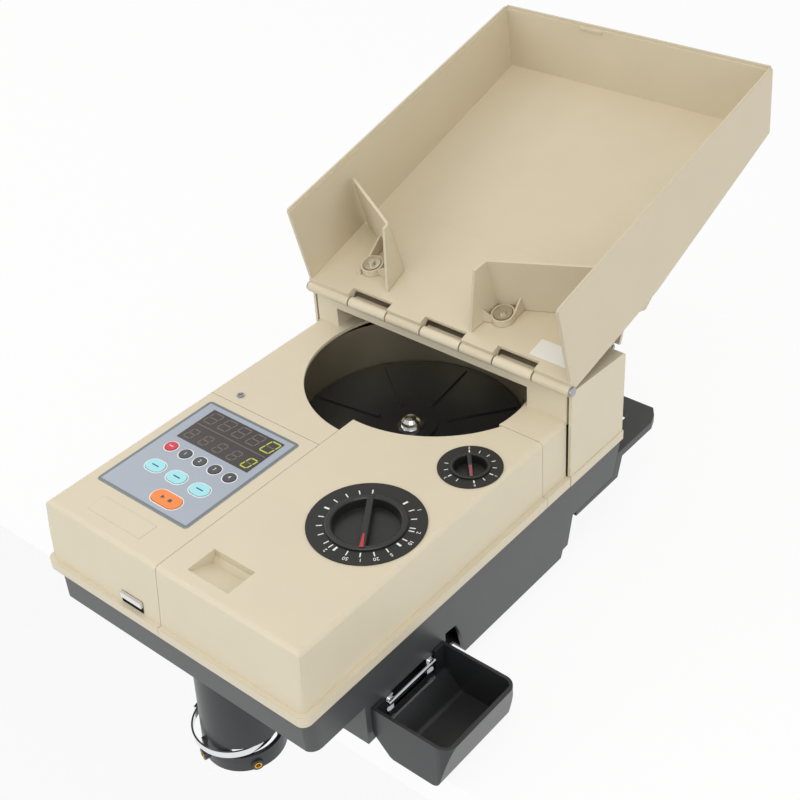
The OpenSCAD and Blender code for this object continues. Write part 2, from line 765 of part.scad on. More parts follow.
module knob_large() {
    knob(large_x, large_y, large_knob_r, large_rim, 4.2, large_turn, 7, plate_top + 8);
}

module knob_small() {
    knob(small_x, small_y, small_knob_r, small_rim, 2.6, small_turn, 6, small_cam_z);
}

// Rail that sets the coin diameter, moved in and out by the large knob's cam
module diameter_rail() {
    color(steel) seat() {
        span([track_x - 15, roller_front_y + 9, plate_top + 4.3], [track_x - 11, roller_back_y - 60, plate_top + 7.6]);
        span([large_x - 4, large_y - 4, plate_top + 4.3], [track_x - 12, large_y + 4, plate_top + 7.6]);
    }
}

// Gate that sets the coin thickness, raised and lowered by the small knob's cam
module thickness_gate() {
    color(steel) seat() {
        span([track_x - 10, gate_y, plate_top + 6.5], [track_x + 8, gate_y + 2, plate_top + 19.7]);
        span([small_x - 3, small_y - 3, gate_top - 2], [track_x - 6.9, gate_y + 2, gate_top]);
        span([small_x - 3, gate_y, plate_top + 18], [track_x - 6.9, gate_y + 2, gate_top]);
    }
}

// Side wall of the tray as a (y, z) outline in the tray's frame
function tray_side() = [[1, under_n], [under_flat, under_n], [tray_floor + 1.5, floor_n1 - 2],
    [tray_floor + tray_lean + wall, rim_n], [1, rim_n]];

// Height of the tray's floor at a distance from the hinge
function floor_at(u) = floor_n0 + (floor_n1 - floor_n0) * u / tray_floor;

module hopper_tray() {
    inner = tray_in;
    color("#cdbf9f") tray_seat() difference() {
        union() {
            for (s = [-1, 1]) across(s > 0 ? inner : -tray_half, s > 0 ? tray_half : -inner)
                polygon(rounded(tray_side(), [0, 20, 2, 3, 2]));
            across(-inner - 1, inner + 1) polygon([[0, floor_n0 - wall], [tray_floor + 1, floor_at(tray_floor) - wall],
                [tray_floor + tray_lean + wall, rim_n], [tray_floor + tray_lean, rim_n],
                [tray_floor, floor_at(tray_floor)], [0, floor_n0]]);
            for (k = [[-tray_half, knuckle_x[0]], [knuckle_x[1], knuckle_x[2]], [knuckle_x[3], knuckle_x[4]],
                [knuckle_x[5], tray_half]]) tray_knuckle(k[0] < -inner ? k[0] : k[0] + gap,
                k[1] > inner ? k[1] : k[1] - gap);
            across(-inner - 1, inner + 1) polygon([[under_flat - 25, under_n], [under_flat - 14, -8],
                [under_flat, under_n], [under_flat, under_n + 2], [under_flat - 10, floor_at(under_flat) - 1],
                [under_flat - 19, floor_at(under_flat) - 1], [under_flat - 25, under_n + 2]]);
            for (u = [58, 160, 210]) across(-inner - 1, inner + 1) polygon([[u, floor_at(u) - 5],
                [u + 2, floor_at(u) - 5], [u + 2, floor_at(u) - 1], [u, floor_at(u) - 1]]);
            rim_catch();
            translate([stop_pin[0], stop_pin[1], floor_at(stop_pin[1]) - 1]) cylinder(r = 1.6, h = 5, $fn = 32);
        }
        for (i = [0, 2, 4]) span([knuckle_x[i] - 1, -8, -9], [knuckle_x[i + 1] + 1, 7, 20]);
        across(-far, far) circle(r = pin_r + running, $fn = 48);
        rabbet();
    }
}

// Hinge barrel on the tray and its web up to the floor
module tray_knuckle(x0, x1) {
    across(x0, x1) circle(r = barrel_r);
    across(x0, x1) polygon([[0, 0], [barrel_r, 0], [9, floor_at(9) - wall], [9, floor_at(9) - 0.5],
        [0, floor_n0 - 0.5]]);
}

// Step along the inner edge of the rim
module rabbet() {
    half = tray_in + 1;
    span([-half, -5, rim_n - 2], [half, tray_floor + tray_lean + 1.1, rim_n + 5]);
}

// Lug inside the far rim that the front latch holds
module rim_catch() {
    u = tray_floor + tray_lean;
    across(latch_x0 - 2, latch_x1 - 2) polygon([[u - 1.4, rim_n - 4.5], [u + 0.5, rim_n - 6],
        [u + 1, rim_n - 2.5], [u - 1.4, rim_n - 2.5]]);
}

// Places a piece that stands on the tray's floor: z square to the floor, which lies at 0
module floor_seat() {
    tray_seat() translate([0, 0, floor_n0]) rotate([floor_slope, 0, 0]) children();
}

// Guide wall along a plan line, standing on the floor, its first top corner cut back
module guide_wall(a, b, cut_a, cut_b) {
    d = b - a;
    translate([a[0], a[1], 0]) rotate([90, 0, atan2(d[1], d[0])]) translate([0, 0, -guide_t / 2])
        linear_extrude(guide_t) polygon([[0, gap], [norm(d), gap], [norm(d), guide_h - cut_b],
        [norm(d) - cut_b, guide_h], [cut_a, guide_h]]);
}

// Foot of a guide, with the collar round its cap
module guide_foot(cap, a, b) {
    difference() {
        union() {
            translate([0, 0, gap]) linear_extrude(foot_t) polygon([a, b, cap + [-6, 3], cap + [5, -6]]);
            translate([cap[0], cap[1], gap]) cylinder(r = 8.4, h = collar_h);
        }
        translate([cap[0], cap[1], 0]) cylinder(r = 3 + running, h = far, $fn = 48);
        translate([cap[0], cap[1], gap + foot_t]) cylinder(r = 6.9, h = far, $fn = 64);
    }
}

// Web between a guide's wall and the collar round its screw, higher at the wall
module guide_web(from, to) {
    d = to - from;
    translate([from[0], from[1], 0]) rotate([90, 0, atan2(d[1], d[0])]) translate([0, 0, -0.8])
        linear_extrude(1.6) polygon([[0, gap], [norm(d), gap], [norm(d), collar_h + web_rise], [0, collar_h]]);
}

module left_guide() {
    color(cream) floor_seat() {
        guide_wall(left_bend + [2.2, -22], left_bend, 17, 0);
        guide_wall(left_bend, [-tray_in + 5.1, left_bend[1] + 27], 0, 0);
        guide_foot(left_cap, left_bend + [-0.2, -2], left_bend + [-10.2, 5]);
        guide_web(left_cap + [6.9, -2.8], left_bend + [1.2, -11]);
        guide_web(left_cap + [-6.6, 4], left_cap + [-6.2, 21.5]);
    }
}

module right_guide() {
    color(cream) floor_seat() {
        guide_wall(right_bend + [-5, -26.4], right_bend, 16, 0);
        guide_wall(right_bend, [tray_in - 5.7, right_bend[1] + 25], 0, 0);
        guide_foot(right_cap, right_bend + [0.6, -7], right_bend + [15.6, 5]);
        guide_web(right_cap + [-5.1, -5.9], right_bend + [-2.8, -14.6]);
        guide_web(right_cap + [6.9, 3.5], right_cap + [8.1, 12.1]);
    }
}

// Screws with broad washers that hold the guides down
module guide_screws() {
    color(steel) floor_seat() for (c = [left_cap, right_cap]) translate([c[0], c[1], 0]) {
        cylinder(r = 3, h = foot_t + 2 * gap + 0.1, $fn = 48);
        translate([0, 0, gap + foot_t + gap]) cylinder(r = 6.5, h = washer_h, $fn = 64);
        translate([0, 0, gap + foot_t + gap]) cylinder(r = 2.7, h = washer_h + 1.8, $fn = 48);
    }
}

module blank_label() {
    color("#f4f3ee") floor_seat() linear_extrude(0.25)
        polygon([[label_x - 32, 23.9], [label_x - 32.7, 9.6], [label_x, 9.6], [label_x, 22], [label_x - 17.1, 23.8]]);
}

// Prop behind the tower that the open tray leans on
module tray_prop() {
    d = [sin(prop_lean), cos(prop_lean)];
    m = [cos(prop_lean), -sin(prop_lean)];
    n = [-sin(tray_tilt), cos(tray_tilt)];
    pivot = [prop_y, prop_z];
    low = n * (pivot - [hinge_y, hinge_z]);
    tops = [for (o = [-0.5, 0.5] * prop_t) (under_n - gap - low - o * (m * n)) / (d * n)];
    foot = prop_barrel_r + 1;
    color(cream) seat() difference() {
        union() {
            across(-prop_half, prop_half) polygon([pivot + d * foot - m * prop_t / 2, pivot + d * foot + m * prop_t / 2,
                pivot + d * tops[1] + m * prop_t / 2, pivot + d * tops[0] - m * prop_t / 2]);
            for (x = [-prop_half + 11, -36, 8, prop_half - 39]) across(x, x + 28) union() {
                translate(pivot) circle(r = prop_barrel_r);
                polygon([pivot - m * prop_t / 2, pivot + m * prop_t / 2,
                    pivot + d * (foot + 1) + m * prop_t / 2, pivot + d * (foot + 1) - m * prop_t / 2]);
            }
        }
        across(-far, far) translate(pivot) circle(r = prop_pin_r + running, $fn = 48);
    }
}

module prop_pin() {
    color(steel) seat() across(-prop_half + 4, prop_half - 4) translate([prop_y, prop_z])
        circle(r = prop_pin_r, $fn = 48);
}

module bowl_ring() {
    color(steel) seat() translate([bowl_x, bowl_y, 0]) difference() {
        translate([0, 0, plate_top]) cylinder(r = bowl_r + bowl_sheet, h = inner_top - 1 - plate_top, $fn = 180);
        translate([0, 0, plate_top - 1]) cylinder(r = bowl_r, h = far, $fn = 180);
        rotate(38) translate([bowl_r - 12, -22, plate_top + 2.4]) cube([24, 44, 11]);
    }
}

module feed_disc() {
    color(black) seat() translate([bowl_x, bowl_y, disc_top_h - disc_t]) {
        difference() {
            union() {
                cylinder(r = bowl_r - 0.8, h = disc_t, $fn = 180);
                for (i = [0:7]) rotate(i * 45 + 8) translate([26, -1.5, disc_t - 0.1]) cube([50, 3, 1.3]);
                cylinder(r = 18, h = disc_t + 1.6);
            }
            translate([0, 0, -1]) cylinder(r = shaft_r, h = 20, $fn = 48);
        }
    }
}

// Domed nut on the shaft's end
module disc_nut() {
    z0 = disc_top_h + 1.6;
    color(steel) seat() translate([bowl_x, bowl_y, z0]) difference() {
        union() {
            cylinder(r = 9, h = 1.2);
            translate([0, 0, 1]) rotate_extrude() polygon([[0, 0], [7, 0], [7, 1.4], [6.2, 3.4], [4.2, 5.2], [0, 6]]);
        }
        translate([0, 0, -1]) cylinder(r = shaft_r - 1.5, h = 4.6, $fn = 48);
    }
}

module disc_shaft() {
    color(steel) seat() translate([bowl_x, bowl_y, 0]) {
        translate([0, 0, pulley_z - 4]) cylinder(r = shaft_r, h = disc_top_h + 1.6 - pulley_z + 4, $fn = 48);
        translate([0, 0, disc_top_h]) cylinder(r = shaft_r - 1.5, h = 4.8, $fn = 48);
    }
}

// Flanged bearing that hangs the shaft from the main plate
module disc_bearing() {
    color("#8d9094") seat() translate([bowl_x, bowl_y, 0]) difference() {
        union() {
            translate([0, 0, plate_z - 10]) cylinder(r = 14, h = 10 + plate_t + 1.6);
            translate([0, 0, plate_z - 3]) cylinder(r = 22, h = 3);
        }
        translate([0, 0, 0]) cylinder(r = shaft_r + running, h = far, $fn = 48);
    }
}

// Grooved pulley with a bore
module pulley(x, y, r, bore) {
    seat() translate([x, y, pulley_z]) difference() {
        rotate_extrude() polygon([[0, 0], [r + 2, 0], [r + 2, 2], [r, 3], [r, pulley_h - 3], [r + 2, pulley_h - 2],
            [r + 2, pulley_h], [0, pulley_h]]);
        translate([0, 0, -1]) cylinder(r = bore, h = pulley_h + 2, $fn = 48);
    }
}

module disc_pulley() {
    color("#6f7277") pulley(bowl_x, bowl_y, disc_pulley_r, shaft_r);
}

module motor_pulley() {
    color("#6f7277") pulley(motor_x, motor_y, motor_pulley_r, 3 + running);
}

module drive_belt() {
    a = [bowl_x, bowl_y];
    b = [motor_x, motor_y];
    color(black) seat() translate([0, 0, pulley_z + 3.5]) linear_extrude(pulley_h - 7) difference() {
        polygon(belt_line(a, disc_pulley_r + gap + belt_t, b, motor_pulley_r + gap + belt_t));
        polygon(belt_line(a, disc_pulley_r + gap, b, motor_pulley_r + gap));
    }
}

// Motor on the deep floor, with a fixed journal for its pulley
module motor() {
    color("#77797d") seat() translate([motor_x, motor_y, base_wall]) {
        cylinder(r = motor_r, h = motor_h);
        for (a = [45:90:315]) rotate(a) translate([motor_r - 2, -5, 0]) cube([9, 10, 3]);
        translate([0, 0, motor_h - 1]) cylinder(r = 9, h = 4);
        translate([0, 0, motor_h + 2]) cylinder(r = 3, h = pulley_z + pulley_h - base_wall - motor_h - 1, $fn = 48);
    }
}

module main_plate() {
    color("#a9abad") seat() difference() {
        span([-plate_half, 6, plate_z], [plate_half, plate_back_y, plate_top]);
        translate([bowl_x, bowl_y, 0]) cylinder(r = 14, h = far);
        translate([spout_x, spout_y, 0]) cylinder(r = spout_top_r - spout_wall, h = far);
        span([track_x - 8, box_y0 + 16, 0], [far, box_y0 + 50, far]);
        span([-far, tower_back - inlet_deep - 3, 0], [inlet_x + inlet_w + 4, far, far]);
    }
}

// Coin track: bed, outer rail and the two cheeks that carry the rollers
module track_frame() {
    color("#8f9296") seat() difference() {
        union() {
            span([track_x - 10, roller_front_y - 12, plate_top], [track_x + 9, gate_y + 12, plate_top + 3.4]);
            span([track_x + 7, roller_front_y - 12, plate_top], [track_x + 9, roller_back_y + 9, plate_top + 5.6]);
            for (y = [roller_front_y, roller_back_y]) {
                span([track_x - 10, y - 8, plate_top + 3], [track_x - 8, y + 8, roller_z + 6]);
                span([track_x + 7, y - 8, plate_top + 3], [track_x + 9, y + 8, roller_z + 6]);
            }
        }
        for (y = [roller_front_y, roller_back_y]) across(track_x - 20, track_x + 20)
            translate([y, roller_z]) circle(r = 2 + running, $fn = 48);
    }
}

module roller(y) {
    color("#c9c9c9") seat() {
        across(track_x - 6.5, track_x + 5.5) translate([y, roller_z]) circle(r = roller_r);
        across(track_x - 9.5, track_x + 8.5) translate([y, roller_z]) circle(r = 2, $fn = 48);
    }
}

module transport_belt() {
    a = [roller_front_y, roller_z];
    b = [roller_back_y, roller_z];
    color(black) seat() across(track_x - 5, track_x + 4) difference() {
        polygon(belt_line(a, roller_r + gap + belt_t, b, roller_r + gap + 0.001 + belt_t));
        polygon(belt_line(a, roller_r + gap, b, roller_r + gap + 0.001));
    }
}

// Forked sensor beside the track
module coin_sensor() {
    y = roller_front_y + 32;
    color(black) seat() {
        span([track_x + 9, y, plate_top], [track_x + 10, y + 14, plate_top + 14]);
        span([track_x + 5.2, y, plate_top + 6], [track_x + 9.5, y + 14, plate_top + 7.4]);
    }
}

module main_board() {
    color("#2f6b3c") seat() {
        translate([board_x, board_y, board_z]) {
            cube(board_size);
            translate([12, 20, board_size[2]]) cube([20, 12, 11.4]);
            translate([48, 50, board_size[2]]) cube([24, 16, 3.4]);
        }
    }
}

module transformer() {
    color("#5d4634") seat() translate([coil_x, coil_y, base_wall]) {
        cube(coil_size);
        translate([8, 6, coil_size[2] - 0.1]) cube([coil_size[0] - 16, coil_size[1] - 12, 6.1]);
        translate([0, -6, 0]) cube([coil_size[0], 6.1, 2]);
    }
}

// Socket for a mains lead in the tower's back
module mains_inlet() {
    x0 = inlet_x + gap;
    x1 = inlet_x + inlet_w - gap;
    z0 = inlet_z + gap;
    z1 = inlet_z + inlet_h - gap;
    color(black) seat() {
        difference() {
            union() {
                span([x0, tower_back - inlet_deep, z0], [x1, tower_back + 0.1, z1]);
                span([x0 - 3, tower_back, z0 - 2], [x1 + 3, tower_back + 2, z1 + 2]);
            }
            span([x0 + 3, tower_back - inlet_deep + 4, z0 + 3.5], [x1 - 3, tower_back + 5, z1 - 3.5]);
        }
        for (i = [-1:1]) span([(x0 + x1) / 2 + 6 * i - 1, tower_back - inlet_deep + 3, z0 + 8.5],
            [(x0 + x1) / 2 + 6 * i + 1, tower_back - 4, z0 + 10.9]);
    }
}

// Rocker of the power switch
module power_switch() {
    x0 = switch_x + gap;
    x1 = switch_x + switch_w - gap;
    z0 = inlet_z + 1;
    z1 = inlet_z + switch_h - 1;
    color(black) seat() {
        span([x0, tower_back - 3.5, z0], [x1, tower_back + 0.1, z1]);
        across(x0, x1) polygon([[tower_back, z0], [tower_back + 2.8, z0], [tower_back + 0.9, (z0 + z1) / 2],
            [tower_back + 0.6, z1], [tower_back, z1]]);
    }
}

// Wall section of the spout at a depth
function spout_at(z) = spout_top_r + (spout_r - spout_top_r) * (skirt_h - z) / (skirt_h + spout_drop);

module spout_tube() {
    color(black) seat() translate([spout_x, spout_y, 0]) difference() {
        union() {
            rotate_extrude() polygon([[0, -spout_drop], [spout_r, -spout_drop], [spout_r, -spout_drop + spout_foot_h],
                [spout_at(10), 10], [spout_top_r, skirt_h], [0, skirt_h]]);
            for (s = insert_spots) rotate(s[0]) translate([spout_r - 2, 0, insert_z]) rotate([0, 90, 0])
                cylinder(r = insert_r + 2.6, h = s[1] + 2 - 0.4, $fn = 64);
            rotate(insert_spots[0][0]) translate([spout_r - 2, -1.5, insert_z]) cube([3.2, 3, 14]);
        }
        translate([0, 0, -spout_drop - 1]) cylinder(r = spout_r - spout_wall, h = spout_drop + 12);
        translate([0, 0, 0]) cylinder(r = spout_top_r - spout_wall, h = far);
        rotate(ring_turn) spout_window(26, 104);
        rotate(ring_turn) spout_window(-104, -26);
        for (s = insert_spots) rotate(s[0]) translate([spout_r - 6, 0, insert_z]) rotate([0, 90, 0])
            cylinder(r = insert_r + 1, h = 20, $fn = 48);
    }
}

// Window through the spout's wall between two bearings
module spout_window(a0, a1) {
    r = 40;
    m = (a0 + a1) / 2;
    translate([0, 0, ring_z - 1.6]) linear_extrude(ring_h + 3.2) polygon([[0, 0], r * [cos(a0), sin(a0)],
        r * 1.3 * [cos(m), sin(m)], r * [cos(a1), sin(a1)]]);
}

// Spring band that clamps the bag's mouth
module bag_ring() {
    color(steel) seat() translate([spout_x, spout_y, ring_z]) rotate(ring_turn) translate([-ring_shift, 0, 0]) {
        difference() {
            cylinder(r = ring_r + 0.6, h = ring_h, $fn = 120);
            translate([0, 0, -1]) cylinder(r = ring_r - 0.6, h = 20, $fn = 120);
        }
        rotate(148) translate([ring_r + 0.3, -3, 0]) cube([2.4, 6, ring_h]);
    }
}

module spout_inserts() {
    color("#c79a3e") seat() translate([spout_x, spout_y, 0]) for (s = insert_spots)
        rotate(s[0]) translate([spout_r + s[1] - insert_l, 0, insert_z]) rotate([0, 90, 0]) difference() {
            cylinder(r = insert_r + 1, h = insert_l, $fn = 48);
            translate([0, 0, -1]) cylinder(r = insert_r, h = insert_l + 2, $fn = 48);
        }
}

// Outline of the reject box across the machine: outer shape drawn in by an inset
module box_outline(inset, up) {
    x0 = base_w / 2 + gap + inset;
    z1 = box_rim_h + up;
    z0 = box_rim_h - box_deep + inset;
    polygon(rounded([[x0, z1], [x0, z0 + 14], [x0 + 13, z0], [x0 + box_w - 9 - 1.1 * inset, z0], [x0 + box_w - 2 * inset, z1]],
        [0, 4, 5, 7, 0]));
}

// Plan of the reject box, drawn in by an inset, with its two outer corners rounded
module box_plan(inset, z0, z1) {
    translate([base_w / 2 + gap, box_y0, z0]) linear_extrude(z1 - z0) polygon(rounded(
        [[inset - (inset > 0 ? 20 : 0), inset], [box_w - inset, inset], [box_w - inset, box_l - inset],
        [inset - (inset > 0 ? 20 : 0), box_l - inset]], [0, box_r - inset, box_r - inset, 0]));
}

module reject_box() {
    low = box_rim_h - box_deep;
    color(black) seat() difference() {
        intersection() {
            along(box_y0, box_y0 + box_l) box_outline(0, 0);
            box_plan(0, low - 9, box_rim_h + 9);
        }
        intersection() {
            along(box_y0, box_y0 + box_l) box_outline(box_wall, 5);
            box_plan(box_wall, low - 9, box_rim_h + 9);
        }
        span([base_w / 2 - 5, box_y0 + 10, 2], [base_w / 2 + gap + box_wall + 1, box_y0 + 58, far]);
    }
}

// Chrome rod, bar and two clips on the machine's side, over the reject box
module reject_hanger() {
    x = base_w / 2;
    color(steel) seat() {
        for (y = [box_y0 + 12, box_y0 + 50]) span([x, y, 5], [x + 2, y + 6, 27]);
        across_y(x + 3.4, box_y0 + 12, box_y0 + 56, 23, 1.5);
        span([x + 1.6, box_y0 + 12, 11], [x + 3.4, box_y0 + 56, 16]);
        for (y = [box_y0 + 15, box_y0 + 53]) {
            translate([x + 1, y, 23]) rotate([0, 90, 0]) cylinder(r = 2.4, h = 3, $fn = 32);
        }
    }
}

// Round rod along the machine
module across_y(x, y0, y1, z, r) {
    translate([x, y1, z]) rotate([90, 0, 0]) cylinder(r = r, h = y1 - y0, $fn = 32);
}

front_cover();
panel_cover();
rear_cover();
tower_shell();
base_housing();
rear_deck();
rubber_feet();
cover_screw();
keypad_overlay();
display_window();
display_modules();
keypad_board();
color("#d42a45") round_key(red_spot);  // red_button
color("#3f4246") round_key(dark_spots[0]);  // dark_button_1
color("#3f4246") round_key(dark_spots[1]);  // dark_button_2
color("#3f4246") round_key(dark_spots[2]);  // dark_button_3
color("#3f4246") round_key(dark_spots[3]);  // dark_button_4
color("#a6e3ea") key(cyan_spots[0], oval);  // cyan_button_1
color("#a6e3ea") key(cyan_spots[1], oval);  // cyan_button_2
color("#a6e3ea") key(cyan_spots[2], oval);  // cyan_button_3
color("#f58a3c") key(start_spot, stadium);  // start_button
dial_plate(large_x, large_y, large_r, large_knob_r - large_rim);  // dial_plate_large
dial_plate(small_x, small_y, small_r, small_knob_r - small_rim);  // dial_plate_small
knob_large();
knob_small();
diameter_rail();
thickness_gate();
front_latch();
hopper_tray();
left_guide();
right_guide();
guide_screws();
blank_label();
hinge_pin();
tray_prop();
prop_pin();
bowl_ring();
feed_disc();
disc_nut();
disc_shaft();
disc_bearing();
disc_pulley();
drive_belt();
motor();
motor_pulley();
main_plate();
track_frame();
transport_belt();
roller(roller_front_y);  // drive_roller
roller(roller_back_y);  // idler_roller
coin_sensor();
main_board();
transformer();
mains_inlet();
power_switch();
spout_tube();
bag_ring();
spout_inserts();
reject_box();
reject_hanger();
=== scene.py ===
"""Coin counting machine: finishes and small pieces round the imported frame, with its light and camera."""
import json
import logging
import math
from dataclasses import dataclass
from enum import Enum
from typing import Sequence

import bmesh
import bpy
import numpy as np
from mathutils import Matrix, Vector


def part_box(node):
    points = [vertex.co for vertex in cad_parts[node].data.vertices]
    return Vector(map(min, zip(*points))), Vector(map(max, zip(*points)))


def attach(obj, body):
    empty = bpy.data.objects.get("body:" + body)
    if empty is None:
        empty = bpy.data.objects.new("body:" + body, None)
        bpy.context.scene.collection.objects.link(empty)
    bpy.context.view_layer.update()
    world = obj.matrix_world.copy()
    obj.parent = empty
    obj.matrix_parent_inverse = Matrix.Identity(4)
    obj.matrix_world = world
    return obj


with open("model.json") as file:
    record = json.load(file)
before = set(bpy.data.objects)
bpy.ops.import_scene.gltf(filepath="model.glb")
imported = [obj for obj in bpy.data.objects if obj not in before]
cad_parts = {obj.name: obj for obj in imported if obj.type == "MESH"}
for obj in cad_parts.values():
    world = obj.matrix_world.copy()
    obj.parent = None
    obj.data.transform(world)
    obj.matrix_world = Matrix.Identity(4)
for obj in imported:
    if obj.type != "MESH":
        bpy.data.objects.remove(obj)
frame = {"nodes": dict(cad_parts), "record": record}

MM = 0.001
MOTTLE_SCALE = 28.0      # slow mottling, one patch in about 36 mm
ROUGHNESS_SPREAD = 0.06  # how far the grain moves the roughness both ways
BUMP_MM = 0.1            # height of the deepest grain
COAT_ROUGHNESS = 0.08
WARM, COOL = (1.0, 0.95, 0.88), (0.93, 0.96, 1.0)
LOG = logging.getLogger("coin_machine")
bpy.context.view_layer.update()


def linear(code: str) -> tuple[float, float, float, float]:
    """Turns an sRGB hex colour into linear values.

    Args:
        code: Colour such as "#d8cbb0".

    Returns:
        Linear red, green and blue, and an alpha of 1.
    """
    channels = np.array([int(code[i:i + 2], 16) for i in (1, 3, 5)]) / 255.0
    values = np.where(channels <= 0.04045, channels / 12.92, ((channels + 0.055) / 1.055) ** 2.4)
    return (*[float(v) for v in values], 1.0)


def add_node(tree: bpy.types.NodeTree, kind: str, links: dict | None = None, **settings) -> bpy.types.Node:
    """Adds one node to a tree, with its settings and links.

    Args:
        tree: Node tree that gets the node.
        kind: Node type, such as "ShaderNodeTexNoise".
        links: Output sockets or constant values by the name of the input that they feed.
        settings: Attributes of the node itself.

    Returns:
        The new node.
    """
    node = tree.nodes.new(kind)
    for key, value in settings.items():
        setattr(node, key, value)
    for key, value in (links or {}).items():
        socket = node.inputs[key]
        if isinstance(value, bpy.types.NodeSocket):
            tree.links.new(value, socket)
        else:
            socket.default_value = value
    return node


class Relief(Enum):
    """What a surface's fine relief looks like."""

    SPARK = "spark-eroded mould, an even fine grain"
    DRAWN = "rolling or drawing lines along one direction"
    TURNED = "rings left by turning round the piece's own axis"
    SMOOTH = "polished, hardly any relief"


@dataclass(frozen=True)
class Finish:
    """A surface: what it is made of and how it was made."""

    name: str
    colour: str
    roughness: float = 0.5
    metallic: float = 0.0
    coat: float = 0.0
    relief: Relief = Relief.SPARK
    grain_mm: float = 0.8
    depth: float = 0.1
    mottle: float = 0.04
    edge_mm: float = 0.0

    def pattern(self, tree: bpy.types.NodeTree) -> tuple[bpy.types.NodeSocket, bpy.types.NodeSocket]:
        """Adds the grain and the slow mottling on object coordinates.

        Args:
            tree: The material's node tree.

        Returns:
            The grain's height and the mottling's value, both from 0 to 1.
        """
        place = add_node(tree, "ShaderNodeTexCoord").outputs["Object"]
        scale = 1.0 / (self.grain_mm * MM)
        lines = {Relief.DRAWN: (1.0, 0.02, 1.0), Relief.TURNED: (1.0, 1.0, 0.02)}
        stretch = lines.get(self.relief, (1.0, 1.0, 1.0))
        mapped = add_node(tree, "ShaderNodeMapping", {"Vector": place, "Scale": stretch})
        grain = add_node(tree, "ShaderNodeTexNoise", {
            "Vector": mapped.outputs["Vector"], "Scale": scale, "Detail": 3.0})
        slow = add_node(tree, "ShaderNodeTexNoise", {"Vector": place, "Scale": MOTTLE_SCALE, "Detail": 4.0})
        return grain.outputs["Fac"], slow.outputs["Fac"]

    def build(self) -> bpy.types.Material:
        """Makes the material, or returns it if it exists.

        Returns:
            The material, with its grain in the roughness and the bump.
        """
        old = bpy.data.materials.get(self.name)
        if old:
            return old
        material = bpy.data.materials.new(self.name)
        material.use_nodes = True
        tree = material.node_tree
        shader = tree.nodes["Principled BSDF"]
        grain, slow = self.pattern(tree)
        base = np.array(linear(self.colour)[:3])
        dark, pale = base * (1.0 - self.mottle), np.minimum(base * (1.0 + self.mottle), 1.0)
        tone = add_node(tree, "ShaderNodeMapRange", {"Value": slow, "From Min": 0.3, "From Max": 0.7})
        mix = add_node(tree, "ShaderNodeMix", {"Factor": tone.outputs["Result"]}, data_type="RGBA")
        mix.inputs[6].default_value = (*dark.tolist(), 1.0)
        mix.inputs[7].default_value = (*pale.tolist(), 1.0)
        tree.links.new(mix.outputs[2], shader.inputs["Base Color"])
        spread = add_node(tree, "ShaderNodeMapRange", {
            "Value": grain, "To Min": max(self.roughness - ROUGHNESS_SPREAD, 0.02),
            "To Max": min(self.roughness + ROUGHNESS_SPREAD, 1.0)})
        tree.links.new(spread.outputs["Result"], shader.inputs["Roughness"])
        shader.inputs["Metallic"].default_value = self.metallic
        shader.inputs["Coat Weight"].default_value = self.coat
        shader.inputs["Coat Roughness"].default_value = COAT_ROUGHNESS
        bump = add_node(tree, "ShaderNodeBump", {"Height": grain, "Strength": self.depth, "Distance": BUMP_MM * MM})
        if self.edge_mm:
            soft = add_node(tree, "ShaderNodeBevel", {"Radius": self.edge_mm * MM}, samples=4)
            tree.links.new(soft.outputs["Normal"], bump.inputs["Normal"])
        tree.links.new(bump.outputs["Normal"], shader.inputs["Normal"])
        return material


@dataclass(frozen=True)
class Glow(Finish):
    """A lit segment behind the smoked window."""

    strength: float = 1.0

    def build(self) -> bpy.types.Material:
        """Makes the finish, then lets it shine in its own colour."""
        material = super().build()
        shader = material.node_tree.nodes["Principled BSDF"]
        shader.inputs["Emission Color"].default_value = linear(self.colour)
        shader.inputs["Emission Strength"].default_value = self.strength
        return material


# Spark-eroded ABS: warm cream with a silky, even sheen; the tray is a shade sandier
CREAM = Finish("moulded_abs_cream", "#d6cbb2", 0.42, grain_mm=0.9, depth=0.12, mottle=0.015, edge_mm=0.6)
TRAY = Finish("moulded_abs_sand", "#d0c4aa", 0.45, grain_mm=0.9, depth=0.12, mottle=0.015, edge_mm=0.6)
# Dark plastics and paint: cool grey that catches a soft light along its edges
GREY = Finish("moulded_abs_grey", "#484949", 0.38, grain_mm=0.9, depth=0.15, mottle=0.05, edge_mm=0.5)
DECK = Finish("painted_sheet_steel", "#3f4041", 0.42, grain_mm=1.2, depth=0.2, mottle=0.05, edge_mm=0.4)
BLACK = Finish("moulded_abs_black", "#2a2b2d", 0.33, grain_mm=0.8, depth=0.1, mottle=0.05, edge_mm=0.4)
# Rubber: nearly black, no highlight
RUBBER = Finish("moulded_rubber", "#1c1c1d", 0.75, grain_mm=1.0, depth=0.3)
BELT = Finish("rubber_belt", "#222224", 0.7, grain_mm=0.9, depth=0.35)
# Metals: drawn zinc is dull, chrome mirrors the room, nickel and brass show turning rings
ZINC = Finish("zinc_plated_steel", "#a7a9ab", 0.38, 1.0, relief=Relief.DRAWN, grain_mm=0.6, depth=0.15)
PLATE = Finish("zinc_plated_plate", "#9c9ea0", 0.42, 1.0, relief=Relief.DRAWN, grain_mm=0.8, depth=0.15)
CHROME = Finish("bright_chrome", "#e3e4e6", 0.07, 1.0, relief=Relief.SMOOTH, grain_mm=3.0, depth=0.02, mottle=0.01)
NICKEL = Finish("turned_nickel_plate", "#d8d4c6", 0.24, 1.0, relief=Relief.TURNED, grain_mm=0.5, depth=0.2)
# Bowl wall: rolled stainless steel, partly its own grey and partly a warm cream tint that is a painted reflection of
# the cream covers and coins round it
STEEL_PAINTED_REFLECTION = Finish("stainless_sheet_painted_reflection", "#d6caae", 0.46, 1.0, relief=Relief.TURNED, grain_mm=0.8, depth=0.08)
BRASS = Finish("turned_brass", "#d0a548", 0.25, 1.0, relief=Relief.TURNED, grain_mm=0.5, depth=0.1)
